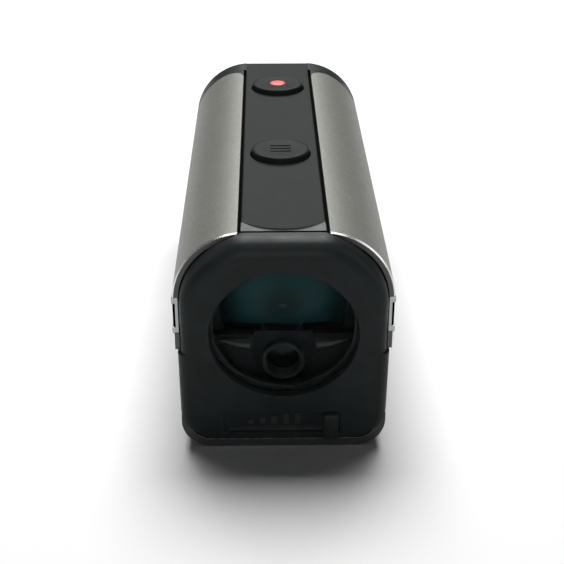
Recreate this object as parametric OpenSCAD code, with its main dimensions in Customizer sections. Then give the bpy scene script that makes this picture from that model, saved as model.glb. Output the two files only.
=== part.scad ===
// Compact laser speed and range finder.
// Origin: middle of the base. +Z is up, the front window looks along -Y, the eyepiece along +Y.
// Left and right are as seen by someone facing the front window.

/* [Case] */
// Width over the side shells
body_w = 42; // [36:0.5:52]
// Height from the base to the crest of the shells
body_h = 47; // [44:0.5:58]
// Length of the side shells
shell_len = 99.8; // [83:0.2:122]
// Reach of the front bezel ahead of the shells
nose_d = 4.39; // [3.5:0.01:7]
// Depth of the rear bezel behind the shells
tail_d = 6.7; // [5:0.1:9]
// Reach of the eyecup behind the rear bezel
eye_reach = 12; // [11:0.5:16]
// Wall of the side shells
shell_t = 1.2; // [0.8:0.1:1.6]
// Radius of the upper corners of the shells
shell_r = 14.1; // [12:0.1:16]
// Height of the lower edge of the shells
shell_low = 22.4; // [20:0.1:25]
// Half the width of the band between the shells
band_half = 8.5; // [7.6:0.1:10]
// Wall of the housing and the bezels
wall_t = 1.5; // [1.2:0.1:2]
// Step from the shells in to the lower side walls
side_step = 0.8; // [0.4:0.1:1.2]
// Depth that each bezel reaches in under the shells
skirt_d = 6; // [5:0.5:8]

/* [Front face] */
// Lean of the front face, in degrees
face_lean = 6; // [0:0.5:10]
// Radius that rolls the face into the top
roll_r = 3.7; // [2:0.1:5]
// Radius that rolls the face into its sides
side_roll_r = 1.6; // [0.8:0.1:3]
// Step from the shells in to the bezel
bezel_inset = 1.4; // [1.3:0.05:2]
// Height of the lower edge of the bezel
bezel_low = 1.6; // [1.2:0.1:2]
// Radius of the lower corners of the bezel
bezel_r = 7; // [5:0.5:9]
// Thickness of the face plate
plate_t = 3.6; // [3:0.1:5]
// Radius of the window opening
window_r = 14.14; // [11.5:0.02:15]
// Height of the middle of the window
window_z = 26.39; // [24:0.01:34]
// Depth of the window glass below the face
window_depth = 1.6; // [1:0.1:2]
// Thickness of the window glass
glass_t = 1.2; // [0.8:0.1:1.6]
// Width of the seat round the window glass
seat_w = 0.8; // [0.5:0.1:1.2]

/* [Bottom tray] */
// Step from the shells in to the tray
tray_inset = 0.9; // [0.9:0.1:1.3]
// Height of the side walls of the tray
tray_top = 7.6; // [6:0.1:9]
// Wall of the tray
tray_t = 1.2; // [1:0.1:1.5]
// Thickness of the floor of the tray
floor_t = 1.8; // [1.6:0.1:2.2]
// Radius of the lower corners of the tray
tray_r = 6; // [5:0.5:7]
// Minor radius of the tripod thread
thread_r = 2.6; // [2.5:0.05:4.2]
// Length of the tripod thread
thread_len = 7; // [5:0.5:8]
// Distance of the tripod thread from the front of the shells
bush_back = 27; // [22:0.5:32]

/* [Top strip] */
// Width of the groove on each side of the top strip
groove_w = 0.6; // [0.3:0.1:0.9]
// Drop of the strip below the crest of the shells
strip_drop = 0.4; // [0.2:0.1:0.8]
// Thickness of the strip
strip_t = 1.4; // [1.2:0.1:1.8]
// Gap between the bezel and the front end of the strip
strip_gap = 0.6; // [0.4:0.1:1]
// Radius of the curved edge of the front bevel
bevel_r = 11.7; // [9:0.1:16]
// Slope of the front bevel, in degrees
bevel_a = 7; // [3:0.5:10]

/* [Buttons] */
// Radius of the buttons
button_r = 6.05; // [4.5:0.05:7.3]
// Height of the buttons above the strip
button_up = 1.25; // [0.8:0.05:2]
// Travel of the buttons
button_travel = 0.5; // [0.3:0.05:0.6]
// Gap round a button
button_gap = 0.25; // [0.2:0.05:0.4]
// Distance of the mode button from the front of the shells
mode_back = 40.6; // [36:0.1:44]
// Distance of the power button from the rear of the shells
power_ahead = 14; // [12:0.1:18]
// Radius of the dot on the power button
dot_r = 1.87; // [1.2:0.01:2.5]

/* [Slide switch] */
// Width of the slide knob
knob_w = 3; // [2.4:0.1:4]
// Height of the slide knob
knob_h = 6.1; // [5:0.1:6.5]
// Distance of the knob from the middle plane at rest
knob_x = 9.3; // [7:0.1:10]
// Height of the lower end of the knob
knob_low = 2; // [1.8:0.1:2.4]
// Distance that the knob stands out of the pocket
knob_out = 1.3; // [0.8:0.1:1.6]
// Travel of the knob
knob_travel = 18.9; // [14:0.1:19]
// Depth of the pocket in the face
pocket_d = 0.45; // [0.3:0.05:0.8]

/* [Side trims] */
// Height of the lower edge of the trims
trim_low = 26; // [24:0.1:28]
// Height of the trims
trim_h = 7.4; // [5:0.1:8]
// Length of the trims
trim_len = 70; // [50:1:80]
// Width of the bright rim of the trims
trim_rim = 0.9; // [0.6:0.1:1.5]
// Distance that the trims stand out of the shells
trim_out = 0.12; // [0:0.02:0.3]

/* [Optics] */
// Height of the optical axis
optic_z = 27; // [26.5:0.1:30]
// Radius of the objective lens
objective_r = 12.6; // [10:0.1:12.8]
// Height of the top edge of the baffle
baffle_z = 22.5; // [21.5:0.1:24]
// Height of the laser tube
laser_z = 16.6; // [16:0.1:17.5]
// Outer radius of the laser tube
laser_r = 4.2; // [3:0.1:4.4]
// Radius of the recess round the laser tube
recess_r = 5.7; // [5:0.1:6.5]
// Half the width of the prisms
prism_half = 6.6; // [5:0.1:6.8]
// Length of the prisms
prism_len = 18; // [12:0.5:20]

/* [Eyepiece] */
// Radius of the eyepiece barrel
barrel_r = 12.95; // [11:0.05:13]
// Wall of the eyepiece tubes
tube_t = 1.4; // [1.1:0.1:1.8]
// Radius of the eyecup
eyecup_r = 15.6; // [15:0.1:17]
// Travel of the eyepiece each way
focus_travel = 1.2; // [0.6:0.1:1.3]
// Length of the dioptre ring
ring_len = 3.9; // [3:0.1:4]
// Wall of the dioptre ring
ring_t = 1.6; // [1.2:0.1:2]
// Number of grip flutes on the dioptre ring
flutes = 36; // [12:1:48]

/* [Battery] */
// Radius of the battery
battery_r = 7.8; // [6.5:0.1:8.2]
// Length of the battery
battery_len = 27; // [24:0.5:28]
// Share of the free length under the case that lies ahead of the battery hatch
hatch_share = 0.3036; // [0.1:0.0002:0.9]
// Half the width of the battery door
door_half = 9.4; // [9:0.1:10]
// Radius of the door's hinge pin
pin_r = 0.75; // [0.6:0.05:0.9]

/* [Fits] */
// Gap between pieces that are glued or clipped
fit_gap = 0.1; // [0.05:0.05:0.2]
// Gap round a piece that turns or slides
run_gap = 0.05; // [0.02:0.01:0.1]
// Gap between pieces that pass each other
pass_gap = 0.3; // [0.2:0.05:0.5]

/* [Hidden] */
$fn = 64;
over = 1;

total_len = nose_d + shell_len + tail_d + eye_reach;
y_front = -total_len / 2;
y_shell = y_front + nose_d;
y_rear = y_shell + shell_len;
y_back = y_rear + tail_d;
y_end = y_back + eye_reach;
y_skirt = y_shell + skirt_d;
y_tail = y_rear - skirt_d;

side_half = body_w / 2 - side_step;
tray_half = body_w / 2 - tray_inset;
strip_half = band_half - groove_w;
corner_x = body_w / 2 - shell_r;
corner_z = body_h - shell_r;
strip_z = body_h - strip_drop;
strip_low = strip_z - strip_t;
housing_inset = shell_t + fit_gap;
inner_inset = housing_inset + wall_t;
inner_half = body_w / 2 - inner_inset;
inner_top = body_h - inner_inset;

roll_y = y_front + roll_r;
roll_z = strip_z - roll_r;
face_touch_y = roll_y - roll_r * cos(face_lean);
face_touch_z = roll_z - roll_r * sin(face_lean);
roll_steps = 16;
function face_y(z) = face_touch_y + (face_touch_z - z) * tan(face_lean);

glass_r = window_r + seat_w;
seal_t = 0.5;
retainer_t = 1;
seat_gap = 0.05;

mode_y = y_shell + mode_back;
power_y = y_rear - power_ahead;
button_top = strip_z + button_up;
flange_r = button_r + 0.75;
flange_t = 0.8;
flange_top = strip_low - fit_gap;
plunger_r = 1.6;
plunger_in = button_travel + 0.4;
plunger_room = 0.2;
dot_depth = 0.5;
dot_sink = 0.1;
switch_w = 6;
switch_h = 1.8;
board_t = 1;
ribbon_w = 6;
post_r = 1.6;
post_reach = flange_r + button_gap + post_r + pass_gap;
post_room = power_y - mode_y - 2 * post_reach - ribbon_w - 2 * post_r - 2 * pass_gap;
button_board_top = inner_top - 2.6;
switch_top = button_board_top + switch_h;

stem_half = 0.9;
slot_low = 3.3;
slot_h = 1.5;
slot_left = knob_x - knob_travel - stem_half - pass_gap;
slot_right = knob_x + stem_half + pass_gap;
slot_mid = (slot_low + slot_h / 2 - window_z) / cos(face_lean);
slot_rise = plate_t * sin(face_lean);
stem_h = slot_h - 2 * pass_gap;
pocket_edge = 1.1;
pocket_low = 3.4;
pocket_top = 8.5;
pocket_left = slot_left - pocket_edge;
pocket_right = knob_x + knob_w / 2 + 0.4;
mark_bars = 5;
mark_pitch = 2.3;
carriage_low = floor_t + fit_gap + wall_t + 0.2;
carriage_h = 4.2;
carriage_w = 6;
carriage_t = 1.6;
slide_board_t = 1.6;

baffle_back = 5.5;
baffle_t = 2;
cell_back = 8;
cell_len = 12;
cell_t = 1.2;
bulkhead_back = cell_back + cell_len;
bulkhead_t = 2;
laser_back = 4.9;
laser_len = 29;
laser_t = 0.8;
diode_len = 4;

door_low = 0.3;
barrel_hinge_r = floor_t - door_low + 0.1;
bush_r = thread_r + 2.4;

contact_t = 0.4;
contact_half = 0.62 * battery_r;
contact_room = 1;
end_wall = 1.2;
battery_low = floor_t + 1;
battery_z = battery_low + battery_r;
cradle_r = battery_r + 0.2;
cradle_half = cradle_r + 3;
cradle_top = battery_z + cradle_r + 0.6;
cradle_len = battery_len + contact_room + 2 * contact_t + 2 * end_wall;
nib_d = 1;
hatch_front = y_shell + bush_back + bush_r + 2 + pass_gap;
hatch_lead = nib_d + 3 * pass_gap;
hatch_tail = 2 * barrel_hinge_r + pass_gap + 0.5;
hatch_room = y_tail - hatch_front - hatch_lead - cradle_len - hatch_tail;
y_cradle = hatch_front + hatch_lead + hatch_share * hatch_room;
y_cradle_end = y_cradle + cradle_len;
y_battery = y_cradle + end_wall + contact_t;
hinge_z = door_low + barrel_hinge_r;
hinge_y = y_cradle_end + barrel_hinge_r + pass_gap + 0.5;
y_door = y_cradle - nib_d - 2 * pass_gap;
ear_w = 2.2;
bush_low = 0.3;
bush_top = bush_low + thread_len - 1;
bush_flange_t = 1.6;
ear_reach = 2.1;

cage_t = 1;
cage_half = prism_half + cage_t;
cage_low = optic_z - cage_half;
y_prism = y_cradle + 2;
y_cage_end = y_prism + prism_len + 2 * cage_t;
display_half = 6.5;
display_t = 1.2;
y_display = y_cage_end + 3;
detector_r = 3.4;
detector_len = 4.2;

ring_r = barrel_r + tube_t + ring_t + 2 * run_gap;
sleeve_in = barrel_r + run_gap;
sleeve_r = sleeve_in + tube_t;
lip_y = y_back + pass_gap + ring_len + pass_gap;
lip_t = 0.5;
y_cup = lip_y + lip_t + focus_travel + pass_gap;
lens_r = barrel_r - tube_t;
barrel_len = 22;
y_barrel = y_cup + 1.5 - barrel_len;

screw_r = 1;
screw_head_r = 1.9;
screw_head_t = 0.9;
screw_len = 6;
tray_screw_x = tray_half - tray_r - 0.4;
board_screw_r = 0.6;
post_x = switch_w / 2 + 3;
tab_low = baffle_z + pass_gap;
tab_h = 4.4;
tab_t = 2;
side_screw_z = tab_low + tab_h / 2;

board_x = inner_half - 2.8;
main_board_low = cradle_top + 2;
main_board_top = corner_z + 3.4;
y_board = y_shell + bulkhead_back + bulkhead_t + 2;
y_board_end = y_tail - 4;

// ---------- Helpers ----------

// Extrudes a front view outline from y0 back to y1
module along_y(y0, y1) {
    translate([0, y1, 0])
        rotate([90, 0, 0])
            linear_extrude(y1 - y0)
                children();
}

// Extrudes a side view outline, drawn as (y, z), across the width
module along_x(half) {
    translate([-half, 0, 0])
        rotate([90, 0, 90])
            linear_extrude(2 * half)
                children();
}

module box(lo, hi) {
    translate(lo)
        cube(hi - lo);
}

module rod_y(r, y0, y1, z, x = 0) {
    translate([x, 0, z])
        along_y(y0, y1)
            circle(r = r);
}

module tube_y(r, r_in, y0, y1, z) {
    difference() {
        rod_y(r, y0, y1, z);
        rod_y(r_in, y0 - over, y1 + over, z);
    }
}

module both_sides() {
    for (side = [0, 1])
        mirror([side, 0, 0])
            children();
}

// Local z is the outward normal of the front face, local y runs up the face
module on_face() {
    translate([0, face_y(window_z), window_z])
        rotate([90 + face_lean, 0, 0])
            children();
}

// ---------- Outlines ----------

// Outline over the shells, moved in by inset, above their lower edge
module case_outline(inset) {
    intersection() {
        union() {
            for (side = [-1, 1])
                translate([side * corner_x, corner_z])
                    circle(r = shell_r - inset);
            translate([-corner_x, shell_low])
                square([2 * corner_x, body_h - inset - shell_low]);
            translate([inset - body_w / 2, shell_low])
                square([body_w - 2 * inset, corner_z - shell_low]);
        }
        translate([-body_w, shell_low])
            square([2 * body_w, body_h]);
    }
}

// Outline with round lower corners
module lower_outline(half, low, high, r) {
    intersection() {
        union() {
            for (side = [-1, 1])
                translate([side * (half - r), low + r])
                    circle(r = r);
            translate([r - half, low])
                square([2 * (half - r), high - low]);
            translate([-half, low + r])
                square([2 * half, high - low]);
        }
        band_outline(half, low, high);
    }
}

module band_outline(half, low, high) {
    translate([-half, low])
        square([2 * half, high - low]);
}

// Hollow of a bezel behind its plate
module bezel_hollow() {
    case_outline(bezel_inset + wall_t);
    lower_outline(tray_half - tray_t - fit_gap - wall_t, floor_t + fit_gap + wall_t,
        shell_low + over, tray_r - tray_t - wall_t);
}

// What the skirt of a bezel gives up to the tray
module tray_step() {
    difference() {
        band_outline(body_w, -over, tray_top + fit_gap);
        lower_outline(tray_half - tray_t - fit_gap, floor_t + fit_gap, tray_top + 2,
            tray_r - tray_t);
    }
}

// Section of the strip's band above its underside
module strip_band() {
    band_outline(band_half, strip_low - fit_gap, body_h + over);
}

// ---------- Front ----------

module front_outline() {
    case_outline(bezel_inset);
    band_outline(band_half - fit_gap, corner_z, strip_z);
    lower_outline(side_half, bezel_low, shell_low, bezel_r);
}

module face_profile() {
    sweep = 90 + face_lean;
    polygon([
        [face_y(0), 0],
        for (i = [0 : roll_steps])
            let (a = 180 + face_lean - sweep * i / roll_steps)
            [roll_y + roll_r * cos(a), roll_z + roll_r * sin(a)],
        [y_skirt, strip_z],
        [y_skirt, 0],
    ]);
}

// The face's side edges, rolled off along the lean
module face_plan(half) {
    depth = 2 * skirt_d + nose_d;
    on_face()
        rotate([-90, 0, 0])
            translate([0, 0, -body_h])
                linear_extrude(2 * body_h) {
                    translate([side_roll_r - half, 0])
                        square([2 * (half - side_roll_r), depth]);
                    translate([-half, side_roll_r])
                        square([2 * half, depth]);
                    for (side = [-1, 1])
                        translate([side * (half - side_roll_r), side_roll_r])
                            circle(r = side_roll_r);
                }
}

module face_pocket() {
    low = (pocket_low - window_z) / cos(face_lean);
    high = (pocket_top - window_z) / cos(face_lean);
    on_face()
        difference() {
            box([pocket_left, low, -pocket_d], [pocket_right, high, over]);
            slide_mark(low);
        }
}

// Rising bars that mark the slide switch
module slide_mark(low) {
    bar_w = 1.1;
    bar_low = low + 2.1;
    for (i = [0 : mark_bars - 1])
        box([-7 + i * mark_pitch, bar_low, -pocket_d - over],
            [-7 + i * mark_pitch + bar_w, bar_low + 0.9 + i * 0.45, -pocket_d + 0.25]);
}

module front_bezel() {
    color("#23272a")
        difference() {
            intersection() {
                along_y(y_front - over, y_skirt) front_outline();
                along_x(body_w) face_profile();
                face_plan(side_half);
            }
            intersection() {
                along_y(y_front, y_skirt + over) bezel_hollow();
                on_face()
                    translate([0, 0, -plate_t - body_h])
                        linear_extrude(body_h)
                            square(3 * body_h, center = true);
            }
            along_y(y_shell, y_skirt + over) tray_step();
            along_y(y_shell + strip_gap - fit_gap, y_skirt + over) strip_band();
            on_face() {
                translate([0, 0, -plate_t])
                    cylinder(r = window_r, h = plate_t + over);
                translate([0, 0, -plate_t - body_h / 2])
                    cylinder(r = glass_r + seat_gap, h = plate_t - window_depth + body_h / 2);
            }
            face_pocket();
            on_face()
                box([slot_left, slot_mid - slot_h / 2, -plate_t - over],
                    [slot_right, slot_mid + slot_h / 2, over]);
            side_screw_holes(y_skirt - skirt_d / 4);
        }
}

module front_window() {
    color("#3f5f66", 0.35)
        on_face()
            translate([0, 0, -window_depth - glass_t])
                cylinder(r = glass_r, h = glass_t);
}

module ring_behind_face(r, r_in, depth, t) {
    on_face()
        translate([0, 0, -depth - t])
            difference() {
                cylinder(r = r, h = t);
                translate([0, 0, -over])
                    cylinder(r = r_in, h = t + 2 * over);
            }
}

module window_seal() {
    color("#111111")
        ring_behind_face(glass_r, window_r - 0.6, window_depth + glass_t, seal_t);
}

module window_retainer() {
    color("#2b2b2b")
        ring_behind_face(glass_r, window_r - 0.6, window_depth + glass_t + seal_t, retainer_t);
}

// Plate that closes the lower half of the view through the window
module baffle_plate() {
    y0 = y_shell + baffle_back;
    color("#17191a")
        difference() {
            union() {
                intersection() {
                    along_y(y0, y0 + baffle_t) bezel_hollow();
                    along_y(y0, y0 + baffle_t)
                        band_outline(body_w, carriage_low + carriage_h + pass_gap + over, baffle_z);
                }
                both_sides()
                    box([3 - slot_left, y0, carriage_low + 1], [4.2 - slot_left, y0 + baffle_t, laser_z]);
            }
            rod_y(recess_r, y0 - over, y0 + baffle_t - 0.6, laser_z);
            rod_y(laser_r, y0 - over, y0 + baffle_t + over, laser_z);
            box([-recess_r, y0 - over, laser_z], [recess_r, y0 + baffle_t - 0.6, baffle_z + over]);
        }
}

// ---------- Optics ----------

// Keeps what stands above the baffle
module above_baffle() {
    intersection() {
        children();
        box([-body_w, y_front, baffle_z + fit_gap], [body_w, y_end, body_h]);
    }
}

module objective_cell() {
    y0 = y_shell + cell_back;
    color("#1a1a1a")
        above_baffle()
            difference() {
                rod_y(objective_r + cell_t, y0, y0 + cell_len, optic_z);
                rod_y(objective_r, y0 - over, y0 + cell_len - 2, optic_z);
                rod_y(objective_r - 1, y0, y0 + cell_len + over, optic_z);
            }
}

// Lens with a bulge at each face, lying along y
module lens(r, edge_t, bulge, y, z) {
    ball = (r * r + bulge * bulge) / (2 * bulge);
    reach = edge_t / 2 + bulge;
    translate([0, y, z])
        rotate([-90, 0, 0])
            rotate_extrude()
                intersection() {
                    translate([0, -reach])
                        square([r, 2 * reach]);
                    translate([0, ball - reach])
                        circle(r = ball, $fn = 720);
                    translate([0, reach - ball])
                        circle(r = ball, $fn = 720);
                }
}

module objective_lens() {
    color("#3c6b70", 0.4)
        above_baffle()
            lens(objective_r, 2, 1.6, y_shell + cell_back + 4, optic_z);
}

module laser_tube() {
    y0 = y_shell + laser_back;
    color("#202224")
        difference() {
            rod_y(laser_r, y0, y0 + laser_len, laser_z);
            rod_y(laser_r - laser_t, y0 - over, y0 + laser_len + over, laser_z);
        }
}

module laser_lens() {
    color("#5a6a70", 0.4)
        lens(laser_r - laser_t, 1.2, 0.5, y_shell + laser_back + 4, laser_z);
}

module laser_diode() {
    y1 = y_shell + laser_back + laser_len;
    color("#c9a94e") {
        rod_y(laser_r - laser_t, y1 - 1.2, y1, laser_z);
        rod_y(laser_r - laser_t - 0.9, y1 - diode_len, y1 - 1.2, laser_z);
        rod_y(0.9, y1, y1 + 2, laser_z);
    }
}

module front_bulkhead() {
    y0 = y_shell + bulkhead_back;
    color("#26292b")
        difference() {
            intersection() {
                along_y(y0, y0 + bulkhead_t) {
                    case_outline(inner_inset);
                    band_outline(side_half - wall_t, tray_top + fit_gap, shell_low);
                }
                along_y(y0, y0 + bulkhead_t)
                    band_outline(body_w, bush_top + bush_flange_t + over, inner_top);
            }
            rod_y(objective_r - 2, y0 - over, y0 + bulkhead_t + over, optic_z);
            rod_y(laser_r, y0 - over, y0 + bulkhead_t + over, laser_z);
        }
}

module prism_cage() {
    color("#2a2d2f")
        difference() {
            box([-cage_half, y_prism, cage_low], [cage_half, y_cage_end, optic_z + cage_half]);
            box([-prism_half, y_prism + cage_t, cage_low + cage_t],
                [prism_half, y_cage_end - cage_t, body_h]);
            rod_y(prism_half - 0.6, y_prism - over, y_cage_end + over, optic_z);
            box([-body_w, y_prism + 4, optic_z - 2.6], [0, y_prism + 9.2, optic_z + 2.6]);
        }
    color("#2a2d2f")
        box([-cage_half, y_prism, cradle_top], [cage_half, y_cage_end, cage_low]);
}

// Prism seen from the side, as an outline in (y, z)
module roof_prism() {
    y0 = y_prism + cage_t;
    y1 = y_cage_end - cage_t;
    color("#8fb7bd", 0.5)
        along_x(prism_half)
            polygon([
                [y0, optic_z - prism_half],
                [y1 - prism_len / 2 - 0.2, optic_z - prism_half],
                [y1 - 0.2, optic_z + prism_half],
                [y0, optic_z + prism_half],
            ]);
}

module half_prism() {
    y1 = y_cage_end - cage_t;
    color("#8fb7bd", 0.5)
        along_x(prism_half)
            polygon([
                [y1 - prism_len / 2, optic_z - prism_half],
                [y1, optic_z - prism_half],
                [y1, optic_z + prism_half],
            ]);
}

module detector_can() {
    y = y_prism + 6.6;
    color("#b8a15a")
        translate([-cage_half, y, optic_z])
            rotate([0, -90, 0]) {
                cylinder(r = detector_r, h = detector_len - 0.6);
                translate([0, 0, detector_len - 0.6])
                    cylinder(r = detector_r + 0.6, h = 0.6);
            }
}

module detector_board() {
    y = y_prism + 6.6;
    x = -cage_half - detector_len;
    half = detector_r + 2.4;
    color("#1f5a36")
        box([x - board_t, y - half, optic_z - half], [x, y + half, optic_z + half]);
}

module display_frame() {
    color("#2a2d2f")
        difference() {
            box([-display_half - 1.5, y_display, cradle_top],
                [display_half + 1.5, y_display + 2.4, optic_z + display_half + 1.5]);
            box([-display_half, y_display - over, optic_z - display_half],
                [display_half, y_display + display_t, optic_z + display_half]);
            box([-display_half + 1, y_display, optic_z - display_half + 1],
                [display_half - 1, y_display + 3, optic_z + display_half - 1]);
        }
}

module display() {
    color("#47545a")
        box([-display_half, y_display, optic_z - display_half],
            [display_half, y_display + display_t, optic_z + display_half]);
}

// ---------- Case ----------

module side_screw_holes(y) {
    both_sides()
        translate([0, y, side_screw_z])
            rotate([0, 90, 0])
                cylinder(r = screw_r, h = body_w);
}

module housing_section() {
    difference() {
        union() {
            case_outline(housing_inset);
            band_outline(side_half, tray_top, shell_low);
        }
        case_outline(inner_inset);
        band_outline(side_half - wall_t, tray_top - over, shell_low + 0.01);
        strip_band();
    }
}

module housing() {
    color("#1c1f21") {
        difference() {
            along_y(y_skirt, y_tail) housing_section();
            for (y = [mode_y, power_y])
                translate([0, y, inner_top - over])
                    cylinder(r = flange_r + button_gap, h = body_h);
        }
        for (y = post_ys(), side = [-1, 1])
            housing_post(side * post_x, y);
        both_sides() {
            for (y = [y_skirt, y_tail])
                housing_tab(y);
            for (y = tray_screw_ys())
                tray_post(y);
        }
        for (y = [y_board + 4, y_board_end - 6])
            box([board_x + board_t, y, optic_z], [inner_half + wall_t / 2, y + 1.2, optic_z + 4]);
    }
}

// Tab that reaches under the skirt of a bezel and takes its side screw
module housing_tab(y) {
    reach = skirt_d / 2;
    x1 = body_w / 2 - bezel_inset - wall_t - fit_gap;
    difference() {
        union() {
            box([x1 - tab_t, y - reach, tab_low], [x1, y + reach, tab_low + tab_h]);
            box([x1 - tab_t, y == y_skirt ? y : y - reach, tab_low],
                [inner_half + wall_t / 2, y == y_skirt ? y + reach : y, tab_low + tab_h]);
        }
        side_screw_holes(y_skirt - skirt_d / 4);
        side_screw_holes(y_tail + skirt_d / 4);
    }
}

// Post over a tray screw, tied to the side wall by a web
module tray_post(y) {
    low = floor_t * 1.5 + fit_gap;
    top = tray_top + 3;
    difference() {
        union() {
            translate([tray_screw_x, y, low])
                cylinder(r = screw_r + 1.2, h = top - low);
            box([tray_screw_x, y - 1, tray_top + fit_gap], [side_half - wall_t / 2, y + 1, top]);
        }
        translate([tray_screw_x, y, -over])
            cylinder(r = screw_r, h = screw_head_t + screw_len + over + 0.3);
    }
}

// Post that carries the button board
module housing_post(x, y) {
    translate([x, y, button_board_top])
        difference() {
            cylinder(r = post_r, h = inner_top - button_board_top + fit_gap);
            translate([0, 0, -over])
                cylinder(r = board_screw_r, h = inner_top - button_board_top + over);
        }
}

module right_shell_body() {
    difference() {
        along_y(y_shell, y_rear)
            intersection() {
                difference() {
                    case_outline(0);
                    case_outline(shell_t);
                }
                translate([band_half, shell_low])
                    square([body_w, body_h]);
            }
        box([0, y_shell - over, trim_low - fit_gap / 2],
            [body_w, y_shell + trim_len + fit_gap / 2, trim_low + trim_h + fit_gap / 2]);
    }
}

module right_shell() {
    color("#8b8a86")
        right_shell_body();
}

module left_shell() {
    color("#8b8a86")
        mirror([1, 0, 0])
            right_shell_body();
}

module trim_frame_body() {
    x0 = body_w / 2 - shell_t;
    x1 = body_w / 2 + trim_out;
    difference() {
        box([x0, y_shell, trim_low], [x1, y_shell + trim_len, trim_low + trim_h]);
        box([x0 + 0.5, y_shell + trim_rim, trim_low + trim_rim],
            [x1 + over, y_shell + trim_len - trim_rim, trim_low + trim_h - trim_rim]);
    }
}

module trim_insert_body() {
    x0 = body_w / 2 - shell_t + 0.5;
    x1 = body_w / 2 + trim_out - 0.15;
    gap = fit_gap / 2;
    box([x0, y_shell + trim_rim + gap, trim_low + trim_rim + gap],
        [x1, y_shell + trim_len - trim_rim - gap, trim_low + trim_h - trim_rim - gap]);
}

module right_trim_frame() {
    color("#c9cccf")
        trim_frame_body();
}

module left_trim_frame() {
    color("#c9cccf")
        mirror([1, 0, 0])
            trim_frame_body();
}

module right_trim_insert() {
    color("#141516")
        trim_insert_body();
}

module left_trim_insert() {
    color("#141516")
        mirror([1, 0, 0])
            trim_insert_body();
}

module top_strip() {
    y0 = y_shell + strip_gap + 0.4;
    color("#2e3133")
        difference() {
            box([-strip_half, y0, strip_low], [strip_half, y_rear, strip_z]);
            for (y = [mode_y, power_y])
                translate([0, y, strip_low - over])
                    cylinder(r = button_r + button_gap, h = body_h);
            translate([0, y0 + bevel_r, strip_z])
                difference() {
                    rotate([bevel_a, 0, 0])
                        translate([-body_w, -2 * bevel_r, 0])
                            cube([2 * body_w, 2 * bevel_r, body_h]);
                    translate([0, 1.1, -body_h])
                        cylinder(r = bevel_r, h = 3 * body_h);
                    translate([-body_w, -bevel_r / 2, -body_h])
                        cube([2 * body_w, bevel_r, 3 * body_h]);
                }
        }
}

module rear_outline() {
    case_outline(0);
    lower_outline(side_half, bezel_low, shell_low, bezel_r);
}

module rear_bezel() {
    rear_roll = 2;
    plate = 3;
    color("#202325")
        difference() {
            union() {
                intersection() {
                    along_y(y_rear, y_back) rear_outline();
                    along_x(body_w) {
                        translate([y_back - rear_roll, body_h - rear_roll])
                            circle(r = rear_roll);
                        translate([y_rear, 0])
                            square([tail_d, body_h - rear_roll]);
                        translate([y_rear, 0])
                            square([tail_d - rear_roll, body_h]);
                    }
                }
                difference() {
                    along_y(y_tail, y_rear + fit_gap) {
                        case_outline(bezel_inset);
                        lower_outline(side_half, bezel_low, shell_low, bezel_r);
                    }
                    along_y(y_tail - over, y_rear) tray_step();
                    along_y(y_tail - over, y_rear) strip_band();
                }
            }
            along_y(y_tail - over, y_back - plate) bezel_hollow();
            rod_y(sleeve_r, y_tail, y_end, optic_z);
            along_y(y_rear, y_end) band_outline(strip_half, strip_z, body_h + over);
            side_screw_holes(y_tail + skirt_d / 4);
        }
}

module bottom_tray() {
    y_bush = y_shell + bush_back;
    color("#4b4d50")
        difference() {
            union() {
                along_y(y_shell, y_rear)
                    difference() {
                        lower_outline(tray_half, 0, tray_top, tray_r);
                        lower_outline(tray_half - tray_t, floor_t, tray_top + 2 * tray_r, tray_r - tray_t);
                    }
                translate([0, y_bush, floor_t / 2])
                    cylinder(r = bush_r + 2, h = bush_top - floor_t / 2);
                both_sides()
                    box([door_half + pass_gap, hinge_y - ear_reach, floor_t / 2],
                        [door_half + pass_gap + ear_w, hinge_y + ear_reach, hinge_z + ear_reach]);
                for (y = tray_screw_ys())
                    both_sides()
                        translate([tray_screw_x, y, floor_t / 2])
                            cylinder(r = screw_head_r + 0.8, h = floor_t);
            }
            box([-door_half - pass_gap, y_door - pass_gap, -over],
                [door_half + pass_gap, hinge_y + barrel_hinge_r + pass_gap, floor_t + over]);
            translate([0, hinge_y, hinge_z])
                rotate([0, 90, 0]) {
                    cylinder(r = barrel_hinge_r + pass_gap, h = 2 * (door_half + pass_gap), center = true);
                    cylinder(r = pin_r, h = 2 * (door_half + pass_gap + ear_w) - 1, center = true);
                }
            translate([0, y_bush, -over])
                cylinder(r = bush_r, h = body_h);
            for (y = tray_screw_ys())
                both_sides()
                    translate([tray_screw_x, y, -over]) {
                        cylinder(r = screw_r, h = body_h);
                        cylinder(r = screw_head_r + fit_gap, h = over + screw_head_t + 0.3);
                    }
        }
}

function tray_screw_ys() = [y_skirt + 5, y_tail - 5];
function post_ys() =
    [mode_y + post_reach + 0.28 * post_room, power_y - post_reach - 0.17 * post_room];

// ---------- Fasteners and fittings ----------

module tripod_bush() {
    y = y_shell + bush_back;
    color("#c8a558")
        difference() {
            union() {
                translate([0, y, bush_low])
                    cylinder(r = bush_r, h = bush_top - bush_low);
                translate([0, y, bush_top])
                    cylinder(r = bush_r + 1.2, h = bush_flange_t);
            }
            translate([0, y, bush_low - over])
                cylinder(r = thread_r, h = thread_len + over);
        }
}

module screw(len) {
    difference() {
        cylinder(r = screw_head_r, h = screw_head_t);
        translate([0, 0, -over])
            cylinder(r = 0.9, h = over + 0.5, $fn = 6);
    }
    translate([0, 0, screw_head_t])
        cylinder(r = screw_r, h = len);
}

module tray_screws() {
    color("#3a3a3a")
        for (y = tray_screw_ys())
            both_sides()
                translate([tray_screw_x, y, 0.3])
                    screw(screw_len);
}

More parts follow.
